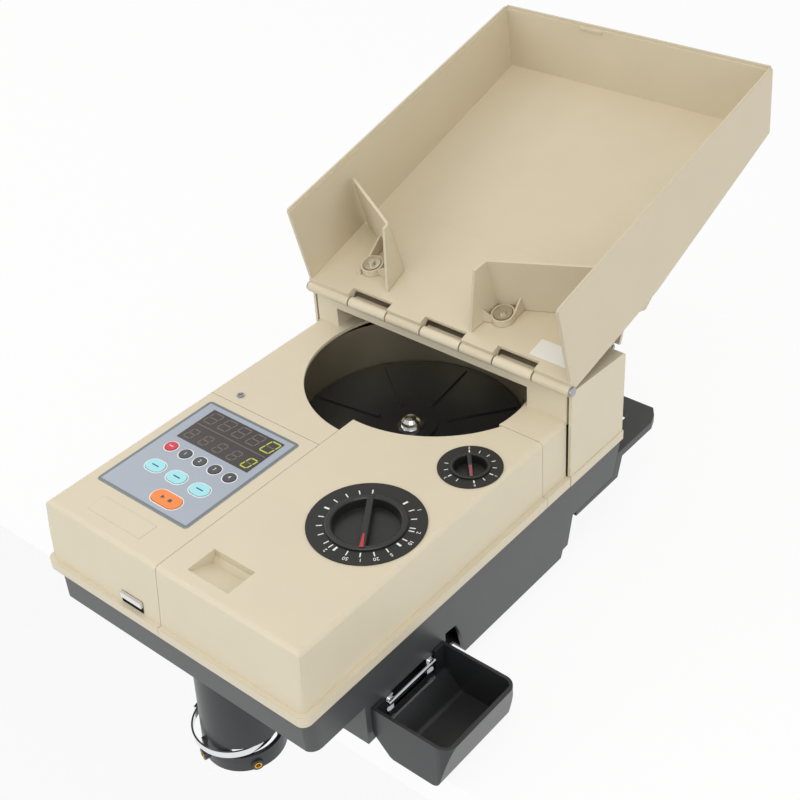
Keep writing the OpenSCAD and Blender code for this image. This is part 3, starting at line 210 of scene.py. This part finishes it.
CAST = Finish("die_cast_zinc", "#8b8e92", 0.45, 1.0, grain_mm=0.8, depth=0.3)
# Inner pieces: painted case and green board
MOTOR = Finish("painted_motor_case", "#5d5e61", 0.4, grain_mm=1.0, depth=0.15)
BOARD = Finish("glass_fibre_board", "#2f6b3c", 0.4, coat=0.4, grain_mm=0.6, depth=0.1)
# Panel: blue-grey satin film with a darker border, smoked window, dim digits, two of them lit
FILM = Finish("printed_polyester_film", "#a2abb8", 0.3, coat=0.15, grain_mm=0.7, depth=0.05, mottle=0.02)
BORDER = Finish("printed_border", "#6c7679", 0.32, coat=0.15, grain_mm=0.7, depth=0.05)
WINDOW = Finish("smoked_acrylic", "#3b3734", 0.12, coat=0.6, relief=Relief.SMOOTH, grain_mm=4.0, depth=0.01)
FAINT = Finish("unlit_segment", "#6a6259", 0.3, grain_mm=2.0, depth=0.02)
LIT = Glow("lit_segment", "#a8b02a", 0.4, grain_mm=2.0, depth=0.02, strength=0.4)
# Keys and prints: flat, even colours under a thin clear coat
RED = Finish("printed_key_red", "#cf2440", 0.34, coat=0.15, depth=0.04, mottle=0.02)
DARK = Finish("printed_key_dark", "#3d4147", 0.34, coat=0.15, depth=0.04, mottle=0.03)
CYAN = Finish("printed_key_cyan", "#9fdfe8", 0.34, coat=0.15, depth=0.04, mottle=0.02)
ORANGE = Finish("printed_key_orange", "#f58433", 0.34, coat=0.15, depth=0.04, mottle=0.02)
WHITE = Finish("white_print", "#ecebe6", 0.5, grain_mm=1.0, depth=0.02, mottle=0.02)
LABEL = Finish("bare_film_label", "#e2e0d8", 0.35, coat=0.2, grain_mm=1.5, depth=0.05, mottle=0.02)
LEGEND = Finish("dark_print", "#2f5560", 0.5, grain_mm=1.0, depth=0.02)
# Dials: matt printed discs, slightly glossier knobs with painted pointers
DIAL = Finish("printed_dial_disc", "#191a17", 0.5, grain_mm=0.7, depth=0.25, mottle=0.06)
KNOB = Finish("moulded_knob", "#22231f", 0.36, grain_mm=0.7, depth=0.15, mottle=0.05, edge_mm=0.3)
POINTER = Finish("red_pointer_paint", "#c0283a", 0.4, grain_mm=0.8, depth=0.05)
POINTER_DULL = Finish("dull_red_paint", "#8f4a52", 0.45, grain_mm=0.8, depth=0.05)
# Feed disc: smooth black plastic with a low sheen
DISC = Finish("moulded_feed_disc", "#232426", 0.25, grain_mm=1.0, depth=0.1, mottle=0.06, edge_mm=0.3)

SLOT_FINISH = {
    "cream_abs": CREAM, "tray_abs": TRAY, "grey_abs": GREY, "grey_steel": DECK, "black_abs": BLACK,
    "rubber": RUBBER, "belt_rubber": BELT, "zinc_steel": ZINC, "panel_film": FILM, "smoked_acrylic": WINDOW,
    "display_black": BLACK, "board_green": BOARD, "red_key": RED, "dark_key": DARK, "cyan_key": CYAN,
    "orange_key": ORANGE, "dial_black": DIAL, "knob_black": KNOB, "chrome": CHROME, "nickel": NICKEL,
    "white_label": LABEL, "polished_steel": STEEL_PAINTED_REFLECTION, "disc_black": DISC, "cast_grey": CAST, "pulley_grey": CAST,
    "motor_grey": MOTOR, "plate_steel": PLATE, "roller_grey": ZINC, "inlet_black": BLACK, "brass": BRASS,
}


def span_of(node: str) -> tuple[np.ndarray, np.ndarray]:
    """Lowest and highest corner of a CAD node in millimetres of the row frame."""
    low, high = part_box(node)
    return np.array(low) / MM, np.array(high) / MM


def make_piece(name: str, points: np.ndarray, faces: Sequence[Sequence[int]], finish: Finish, body: str,
               smooth: bool = False) -> bpy.types.Object:
    """Puts points and faces into a mesh, dresses it and lets it ride a body.

    Args:
        name: Name of the piece.
        points: Array (n, 3) in millimetres of the row frame.
        faces: Corner numbers of each face.
        finish: Its surface.
        body: CAD body that it moves with.
        smooth: Whether its faces are shaded as a curved surface.

    Returns:
        The new object, with its doubles merged and its faces pointing outwards.
    """
    mesh = bpy.data.meshes.new(name)
    mesh.from_pydata((np.asarray(points, float) * MM).tolist(), [], [list(map(int, f)) for f in faces])
    work = bmesh.new()
    work.from_mesh(mesh)
    bmesh.ops.remove_doubles(work, verts=work.verts, dist=0.0005 * MM)
    bmesh.ops.recalc_face_normals(work, faces=work.faces)
    work.to_mesh(mesh)
    work.free()
    mesh.polygons.foreach_set("use_smooth", np.full(len(mesh.polygons), smooth))
    mesh.materials.append(finish.build())
    piece = bpy.data.objects.new(name, mesh)
    bpy.context.scene.collection.objects.link(piece)
    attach(piece, body)
    return piece


def prisms(outlines: np.ndarray, low: float, high: float) -> tuple[np.ndarray, list]:
    """Stands flat outlines up as closed prisms.

    Each outline's points are taken once at the low level and once at the high one; point i of both levels
    and point i + 1 of both levels bound one side face.

    Args:
        outlines: Array (k, m, 2): k outlines of m points, counter-clockwise.
        low: Level of the lower faces.
        high: Level of the upper faces.

    Returns:
        Points (2 k m, 3) and the faces of all prisms.
    """
    k, m, _ = outlines.shape
    flat = outlines.reshape(-1, 2)
    points = np.vstack([np.column_stack([flat, np.full(len(flat), z)]) for z in (low, high)])
    base = (np.arange(k) * m)[:, None]
    ring, after = np.arange(m), (np.arange(m) + 1) % m
    lower, upper = base + ring, base + ring + k * m
    sides = np.stack([base + ring, base + after, base + after + k * m, base + ring + k * m], -1).reshape(-1, 4)
    return points, [*lower[:, ::-1].tolist(), *upper.tolist(), *sides.tolist()]


def band(outer: np.ndarray, inner: np.ndarray, low: float, high: float) -> tuple[np.ndarray, list]:
    """Closed flat ring between two outlines with the same number of points.

    Its section is a rectangle: outer low, outer high, inner high, inner low, carried round the outlines.

    Args:
        outer: Outer outline (m, 2).
        inner: Inner outline (m, 2).
        low: Level of the underside.
        high: Level of the top.

    Returns:
        Points (4 m, 3) and faces.
    """
    m = len(outer)
    corners = [(outer, low), (outer, high), (inner, high), (inner, low)]
    points = np.vstack([np.column_stack([line, np.full(m, z)]) for line, z in corners])
    i, j = np.arange(m), (np.arange(m) + 1) % m
    faces = [np.stack([i + a * m, j + a * m, j + b * m, i + b * m], -1) for a, b in ((0, 1), (1, 2), (2, 3), (3, 0))]
    return points, np.concatenate(faces).tolist()


def round_rectangle(centre: np.ndarray, half: tuple[float, float], radius: float, steps: int = 12) -> np.ndarray:
    """Rectangle with round corners, counter-clockwise; a circle where both halves equal the radius.

    Corner q's arc runs over 90 degrees round a centre that lies the radius inside both sides.

    Args:
        centre: Middle of the shape.
        half: Half width and half height.
        radius: Radius of the corners.
        steps: Segments of each corner's arc.

    Returns:
        Array (4 (steps + 1), 2) of points.
    """
    turn = np.linspace(0.0, math.pi / 2, steps + 1)
    quarter = np.arange(4)[:, None] * math.pi / 2
    sign = np.array([[1, 1], [-1, 1], [-1, -1], [1, -1]])[:, None, :]
    middle = sign * (np.array(half) - radius)
    arc = radius * np.stack([np.cos(quarter + turn), np.sin(quarter + turn)], -1)
    return (middle + arc).reshape(-1, 2) + centre


def radial_marks(centre: np.ndarray, angles: np.ndarray, start: np.ndarray, end: np.ndarray,
                 width: np.ndarray) -> np.ndarray:
    """Outlines of straight marks that point at a centre.

    A mark's corners lie at its start and end radius along (cos a, sin a), half its width to both sides.

    Args:
        centre: Plan position that the marks point at.
        angles: Bearings in degrees.
        start: Inner radius of each mark.
        end: Outer radius of each mark.
        width: Width of each mark.

    Returns:
        Array (k, 4, 2) of outlines.
    """
    a = np.radians(angles)
    out = np.stack([np.cos(a), np.sin(a)], -1)
    side = np.stack([-np.sin(a), np.cos(a)], -1)
    r = np.stack([start, end, end, start], -1)[..., None]
    s = (np.array([-0.5, -0.5, 0.5, 0.5]) * width[:, None])[..., None]
    return centre + r * out[:, None, :] + s * side[:, None, :]


def numerals(words: Sequence[str], size: float, level: float, thick: float,
             places: Sequence[tuple[np.ndarray, float]]) -> tuple[np.ndarray, list]:
    """Plain numbers as thin solids.

    Args:
        words: One number for each place.
        size: Height of the type in millimetres.
        level: Level of the print's underside.
        thick: Thickness of the print.
        places: Centre and turn in degrees of each number.

    Returns:
        Points and faces of all numbers.
    """
    points, faces = [], []
    for word, (centre, turn) in zip(words, places):
        curve = bpy.data.curves.new("type", "FONT")
        curve.body, curve.size, curve.extrude = word, size * 1.4, thick / 2
        curve.align_x, curve.align_y, curve.resolution_u = "CENTER", "CENTER", 4
        holder = bpy.data.objects.new("type", curve)
        bpy.context.scene.collection.objects.link(holder)
        mesh = bpy.data.meshes.new_from_object(holder.evaluated_get(bpy.context.evaluated_depsgraph_get()))
        flat = np.zeros(len(mesh.vertices) * 3)
        mesh.vertices.foreach_get("co", flat)
        spun = flat.reshape(-1, 3) @ np.array(Matrix.Rotation(math.radians(turn), 3, "Z")).T
        start = sum(len(p) for p in points)
        points.append(spun + np.array([centre[0], centre[1], level + thick / 2]))
        faces += [[start + v for v in polygon.vertices] for polygon in mesh.polygons]
        bpy.data.objects.remove(holder)
        bpy.data.curves.remove(curve)
        bpy.data.meshes.remove(mesh)
    return np.vstack(points), faces


@dataclass
class Frame:
    """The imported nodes, which only get their finishes."""

    def dress(self) -> None:
        """Gives each CAD node the finish of its material slot."""
        slots = {part["node"]: part["material_slot"] for part in frame["record"]["subparts"]}
        for name, node in frame["nodes"].items():
            material = SLOT_FINISH[slots[name]].build()
            for holder in node.material_slots:
                holder.material = material
        LOG.info("frame: %d nodes dressed", len(frame["nodes"]))


@dataclass
class Keypad:
    """Printed film, key rings, legends and the two rows of digits."""

    print_t: float = 0.08
    border_w: float = 1.9
    border_in: float = 0.15
    corner: float = 2.5
    ring_w: float = 0.75
    ring_gap: float = 0.34
    digit_pitch: float = 13.1
    first_x: float = 6.9
    rows: tuple = ((27.0, 8.0, 11.0), (7.4, 6.0, 9.4))
    divider_y: float = 17.0
    divider_w: float = 0.9
    stroke: float = 0.95
    slant: float = 0.14

    def border(self) -> None:
        """Grey border printed round the film's edge."""
        low, high = span_of("keypad_overlay")
        centre, half = (low + high)[:2] / 2, (high - low)[:2] / 2
        outer = half - self.border_in
        inner = outer - self.border_w
        points, faces = band(round_rectangle(centre, tuple(outer), self.corner - self.border_in),
                             round_rectangle(centre, tuple(inner), 0.6), high[2], high[2] + self.print_t)
        make_piece("panel_border", points, faces, BORDER, "root")

    def rings(self) -> None:
        """Pale ring printed round each key."""
        top = span_of("keypad_overlay")[1][2]
        keys = ["red_button", *[f"dark_button_{i}" for i in range(1, 5)],
                *[f"cyan_button_{i}" for i in range(1, 4)], "start_button"]
        for key in keys:
            low, high = span_of(key)
            half = (high - low)[:2] / 2 - 1.0
            inner, outer = half + self.ring_gap, half + self.ring_gap + self.ring_w
            centre = (low + high)[:2] / 2
            points, faces = band(round_rectangle(centre, tuple(outer), float(min(outer))),
                                 round_rectangle(centre, tuple(inner), float(min(inner))), top, top + self.print_t)
            make_piece(f"{key}_ring", points, faces, WHITE, "root")

    def segments(self, centre: np.ndarray, width: float, height: float) -> np.ndarray:
        """Seven hexagonal strokes of one digit.

        A stroke runs from -l to l along its own direction and tapers over half its width at both ends;
        the digit leans by adding slant times the height to x.

        Args:
            centre: Middle of the digit.
            width: Distance between the upright strokes' middles.
            height: Distance between the top and the bottom strokes' middles.

        Returns:
            Array (7, 6, 2): top, upper right, lower right, bottom, lower left, upper left, middle.
        """
        w, h, t = width / 2, height / 2, self.stroke / 2
        mid = np.array([[0, h], [w, h / 2], [w, -h / 2], [0, -h], [-w, -h / 2], [-w, h / 2], [0, 0]])
        upright = np.array([0, 1, 1, 0, 1, 1, 0], bool)[:, None, None]
        length = np.where(upright[:, 0, 0], h / 2, w)[:, None] - 0.25
        along = np.stack([-length, -length + t, length - t, length, length - t, -length + t], 1)[:, :, 0]
        across = np.tile(np.array([0, -t, -t, 0, t, t]), (7, 1))
        flat = np.stack([along, across], -1)
        stroke = np.where(upright, np.stack([-across, along], -1), flat) + mid[:, None, :]
        stroke[..., 0] += self.slant * stroke[..., 1]
        return stroke + centre

    def display(self) -> None:
        """Two rows of five digits, the last of each row lit, and the line between the rows."""
        low, high = span_of("display_window")
        rim = 1.5
        corner, top = low[:2] + rim, high[2]
        unlit, lit = [], []
        for y, width, height in self.rows:
            for i in range(5):
                centre = corner + np.array([self.first_x + i * self.digit_pitch, y])
                strokes = self.segments(centre, width, height)
                shown = np.array([1, 1, 1, 1, 1, 1, 0], bool)
                if i == 4:
                    lit.append(strokes[shown])
                    unlit.append(strokes[~shown])
                else:
                    unlit.append(strokes)
        x0, x1 = low[0] + rim + 1.2, high[0] - rim - 1.2
        y0 = corner[1] + self.divider_y
        line = np.array([[[x0, y0], [x1, y0], [x1, y0 + self.divider_w], [x0, y0 + self.divider_w]]])
        for name, shapes, finish in (("digits_unlit", np.concatenate(unlit), FAINT),
                                     ("digits_lit", np.concatenate(lit), LIT), ("display_divider", line, FAINT)):
            points, faces = prisms(shapes, top, top + self.print_t)
            make_piece(name, points, faces, finish, "root")

    def legends(self) -> None:
        """Generic marks on the keys: numbers on the dark ones, bars on the oval ones, start and stop shapes."""
        for i in range(1, 5):
            low, high = span_of(f"dark_button_{i}")
            points, faces = numerals([str(i)], 2.6, high[2], self.print_t, [((low + high)[:2] / 2, 0.0)])
            make_piece(f"dark_button_{i}_number", points, faces, WHITE, f"dark_button_{i}")
        bar = np.array([[-2.9, -0.45], [2.9, -0.45], [2.9, 0.45], [-2.9, 0.45]])
        play = np.array([[-4.6, -1.5], [-1.6, 0.0], [-4.6, 1.5], [-4.6, 0.5]])
        stop = np.array([[1.8, -1.3], [4.4, -1.3], [4.4, 1.3], [1.8, 1.3]])
        shapes = {"red_button": (0.6 * bar[None], WHITE, "red_key"),
                  **{f"cyan_button_{i}": (bar[None], LEGEND, "cyan_key") for i in range(1, 4)},
                  "start_button": (np.stack([play, stop]), LEGEND, "orange_key")}
        for key, (outlines, finish, slot) in shapes.items():
            low, high = span_of(key)
            points, faces = prisms(outlines + (low + high)[:2] / 2, high[2], high[2] + self.print_t)
            make_piece(f"{key}_mark", points, faces, finish, key)

    def build(self) -> None:
        """Builds everything that is printed on the panel."""
        self.border()
        self.rings()
        self.display()
        self.legends()
        LOG.info("keypad: border, nine rings, ten digits, divider, nine legends")


@dataclass
class LatchPocketShade:
    """Thin dark plates that paint the shade in the pocket under the front latch's bar."""

    shade_t: float = 0.14
    play: float = 0.3
    depth: float = 10.5
    height: float = 4.0

    def build(self) -> None:
        """Covers the pocket's floor and both of its sides with thin dark plates, painted shade where the pocket lies
        in shadow.
        """
        low, high = span_of("front_latch")
        x0, x1 = low[0] - self.play, high[0] + self.play
        y0, floor = low[1] + 0.9, low[2] - self.play
        plates = [([x0, y0], [x1, y0 + self.depth], floor, floor + self.shade_t),
                  ([x0, y0], [x0 + self.shade_t, y0 + self.depth], floor, floor + self.height),
                  ([x1 - self.shade_t, y0], [x1, y0 + self.depth], floor, floor + self.height)]
        for i, (a, b, bottom, top) in enumerate(plates):
            plan = np.array([[[a[0], a[1]], [b[0], a[1]], [b[0], b[1]], [a[0], b[1]]]])
            points, faces = prisms(plan, bottom, top)
            # the near-black rubber finish on these plates is painted shade, not a real lining of the pocket
            make_piece(f"latch_painted_shade_{i}", points, faces, RUBBER, "root")
        LOG.info("latch pocket: three lining plates")


@dataclass
class HingeLining:
    """Floors of the three gaps in the tray behind the tower's hinge barrels."""

    gaps: tuple = ((-74.4, -39.3), (-9.4, 25.2), (51.8, 84.1))
    axis_y: float = 108.25
    axis_z: float = 148.0
    tilt: float = 13.75
    reach: tuple = (4.75, 7.2)
    level: tuple = (-1.3, -0.5)

    def build(self) -> None:
        """Closes each gap with a thin lip that turns with the tray.

        A point (x, u, n) of the tray goes to (x, y0 + u cos t - n sin t, z0 + u sin t + n cos t).
        """
        c, s = math.cos(math.radians(self.tilt)), math.sin(math.radians(self.tilt))
        for i, (x0, x1) in enumerate(self.gaps):
            plan = np.array([[[x0, self.reach[0]], [x1, self.reach[0]], [x1, self.reach[1]], [x0, self.reach[1]]]])
            points, faces = prisms(plan, *self.level)
            x, u, n = points.T
            turned = np.column_stack([x, self.axis_y + u * c - n * s, self.axis_z + u * s + n * c])
            make_piece(f"hinge_lip_{i}", turned, faces, TRAY, "tray")
        LOG.info("hinge: three lips behind the barrels")


@dataclass
class Dial:
    """Marks and numbers of a setting dial, and the red tip of its knob's bar."""

    plate: str
    knob: str
    body: str
    marks: np.ndarray
    long_marks: tuple
    mark_start: float
    mark_len: float
    mark_w: float
    long_w: float
    words: tuple
    word_angles: tuple
    word_r: float
    word_size: float
    tip: np.ndarray
    bar_turn: float
    tip_finish: Finish
    print_t: float = 0.06

    def build(self) -> None:
        """Builds the print on the disc and the painted tip on the bar."""
        low, high = span_of(self.plate)
        centre, top = (low + high)[:2] / 2, high[2]
        bold = np.isin(np.arange(len(self.marks)), self.long_marks)
        start = np.full(len(self.marks), self.mark_start)
        end = start + self.mark_len
        outlines = radial_marks(centre, self.marks, start, end, np.where(bold, self.long_w, self.mark_w))
        points, faces = prisms(outlines, top, top + self.print_t)
        make_piece(f"{self.plate}_marks", points, faces, WHITE, "root")
        places = [(centre + self.word_r * np.array([math.cos(math.radians(a)), math.sin(math.radians(a))]), a - 90.0)
                  for a in self.word_angles]
        points, faces = numerals(self.words, self.word_size, top, self.print_t, places)
        make_piece(f"{self.plate}_numbers", points, faces, WHITE, "root")
        high = span_of(self.knob)[1][2]
        turn = math.radians(self.bar_turn)
        along, side = np.array([math.sin(turn), -math.cos(turn)]), np.array([math.cos(turn), math.sin(turn)])
        tip = centre + self.tip[:, :1] * along + self.tip[:, 1:] * side
        points, faces = prisms(tip[None], high - 0.02, high + self.print_t)
        make_piece(f"{self.knob}_tip", points, faces, self.tip_finish, self.body)
        LOG.info("%s: %d marks, %d numbers", self.plate, len(self.marks), len(self.words))


def large_dial() -> Dial:
    """The coin diameter's dial: a mark each 16.4 degrees, three extra ones, every fifth bold."""
    step, first = 16.4, 74.7
    marks = first - step * np.arange(20)
    marks[4] = 3.2
    marks = np.append(marks, [20.1, -96.8])
    angles = (56.2, 19.9, 3.0, -22.9, -39.3, -55.4, -71.1, -96.3)
    return Dial("dial_plate_large", "knob_large", "large_knob", marks, (0, 5, 10, 15), 26.6, 3.6, 0.75, 1.35,
                ("1", "2", "10", "5", "20", "1", "50", "2"), angles, 32.8, 2.7,
                np.array([[11.5, -0.5], [23.3, -1.2], [23.3, 1.2], [11.5, 0.5]]), 33.5, POINTER)


def small_dial() -> Dial:
    """The coin thickness's dial: two runs of marks, the ends of the scale bold."""
    marks = np.concatenate([129.6 - 24.8 * np.arange(8), -84.3 - 24.0 * np.arange(4)])
    return Dial("dial_plate_small", "knob_small", "small_knob", marks, (0, 5, 7, 9), 14.0, 2.6, 0.5, 0.8,
                ("2", "1", "0", "3"), (129.6, 5.6, -44.0, -107.9), 18.6, 2.0,
                np.array([[0.5, -0.9], [11.6, -0.9], [11.6, 0.9], [0.5, 0.9]]), 41.0, POINTER_DULL)


@dataclass
class Stage:
    """Table, light and camera."""

    table_edge: float = -87.75
    table_reach: float = 4000.0
    table_t: float = 30.0
    drop: float = 900.0
    azimuth: float = 42.19
    elevation: float = 36.14
    roll: float = -4.05
    place: tuple = (504.65, -486.01, 664.87)
    focal_px: float = 1382.5
    image_px: int = 800
    glow_share: float = 0.9
    stage_grey: float = 0.85
    room_strength: float = 0.66
    lamps: tuple = (("key", (0.5, -0.5, 1.9), 1.2, 11.0, WARM), ("fill", (-1.4, 0.2, 1.3), 1.4, 6.0, WARM),
                    ("front", (-0.5, -1.7, 0.45), 1.2, 9.0, COOL), ("side", (1.8, -0.4, 0.45), 1.2, 8.0, COOL))

    def surface(self, name: str) -> bpy.types.Material:
        """Pale stage material: white where the camera or a glossy surface sees it, soft grey shadows kept."""
        material = bpy.data.materials.new(name)
        material.use_nodes = True
        tree = material.node_tree
        tree.nodes.remove(tree.nodes["Principled BSDF"])
        path = add_node(tree, "ShaderNodeLightPath")
        seen = add_node(tree, "ShaderNodeMath", {0: path.outputs["Is Camera Ray"], 1: path.outputs["Is Glossy Ray"]},
                        operation="MAXIMUM")
        clear = add_node(tree, "ShaderNodeMath", {0: seen.outputs[0], 1: path.outputs["Is Transmission Ray"]},
                         operation="MAXIMUM")
        share = add_node(tree, "ShaderNodeMath", {0: clear.outputs[0], 1: self.glow_share}, operation="MULTIPLY")
        matt = add_node(tree, "ShaderNodeBsdfDiffuse", {"Color": (self.stage_grey,) * 3 + (1.0,)})
        shine = add_node(tree, "ShaderNodeEmission", {"Color": (1.0, 1.0, 1.0, 1.0), "Strength": 1.0})
        mix = add_node(tree, "ShaderNodeMixShader", {0: share.outputs[0], 1: matt.outputs[0], 2: shine.outputs[0]})
        tree.links.new(mix.outputs[0], tree.nodes["Material Output"].inputs["Surface"])
        return material

    def table(self) -> None:
        """Table whose front edge the spout hangs over, and a low floor in front of it."""
        material = self.surface("pale_stage")
        reach, edge = self.table_reach, self.table_edge
        plan = np.array([[[-reach, edge], [reach, edge], [reach, reach], [-reach, reach]]])
        whole = np.array([[[-reach, -reach], [reach, -reach], [reach, reach], [-reach, reach]]])
        slabs = (("table", plan, -self.table_t, 0.0), ("ground", whole, -self.drop - 1, -self.drop))
        for name, shape, low, high in slabs:
            points, faces = prisms(shape, low, high)
            mesh = bpy.data.meshes.new(name)
            mesh.from_pydata((points * MM).tolist(), [], faces)
            mesh.materials.append(material)
            piece = bpy.data.objects.new(name, mesh)
            bpy.context.scene.collection.objects.link(piece)

    def world(self) -> None:
        """Even studio light from all round, white where the camera looks past the table."""
        world = bpy.data.worlds.new("studio")
        bpy.context.scene.world = world
        world.use_nodes = True
        tree = world.node_tree
        path = add_node(tree, "ShaderNodeLightPath")
        light = tree.nodes["Background"]
        light.inputs["Color"].default_value = (0.98, 0.99, 1.0, 1.0)
        light.inputs["Strength"].default_value = self.room_strength
        white = add_node(tree, "ShaderNodeBackground", {"Color": (1.0, 1.0, 1.0, 1.0), "Strength": 1.0})
        mix = add_node(tree, "ShaderNodeMixShader", {0: path.outputs["Is Camera Ray"], 1: light.outputs[0],
                                                     2: white.outputs[0]})
        tree.links.new(mix.outputs[0], tree.nodes["World Output"].inputs["Surface"])

    def lamp(self, name: str, place: tuple, size: float, power: float, tint: tuple,
             target: tuple = (0.0, 0.0, 0.1)) -> None:
        """Soft square lamp that looks at the machine."""
        light = bpy.data.lights.new(name, "AREA")
        light.size, light.energy, light.color = size, power, tint
        holder = bpy.data.objects.new(name, light)
        holder.location = place
        holder.rotation_euler = (Vector(target) - Vector(place)).to_track_quat("-Z", "Y").to_euler()
        bpy.context.scene.collection.objects.link(holder)

    def camera(self) -> None:
        """Camera of the photograph: its bearing, height, roll and distance."""
        az, el, roll = (math.radians(v) for v in (self.azimuth, self.elevation, self.roll))
        ahead = Vector((-math.sin(az) * math.cos(el), math.cos(az) * math.cos(el), -math.sin(el)))
        level = Vector((math.cos(az), math.sin(az), 0.0))
        upright = level.cross(ahead)
        right = math.cos(roll) * level + math.sin(roll) * upright
        up = -math.sin(roll) * level + math.cos(roll) * upright
        data = bpy.data.cameras.new("camera")
        data.sensor_width = 36.0
        data.lens = self.focal_px / self.image_px * data.sensor_width
        data.clip_end = 50.0
        holder = bpy.data.objects.new("camera", data)
        turn = Matrix((right, up, -ahead)).transposed().to_4x4()
        holder.matrix_world = Matrix.Translation(Vector(self.place) * MM) @ turn
        bpy.context.scene.collection.objects.link(holder)
        bpy.context.scene.camera = holder

    def build(self) -> None:
        """Sets the whole stage."""
        self.camera()
        self.table()
        self.world()
        for row in self.lamps:
            self.lamp(*row)
        bpy.context.scene.view_settings.view_transform = "Standard"
        LOG.info("stage: table, lamps, camera of %.1f mm", bpy.context.scene.camera.data.lens)


def main() -> None:
    """Builds the stage and every sub-assembly in order."""
    logging.basicConfig(level=logging.INFO, format="%(message)s")
    Stage().build()
    Frame().dress()
    Keypad().build()
    large_dial().build()
    small_dial().build()
    LatchPocketShade().build()
    HingeLining().build()


if __name__ == "__main__":
    main()
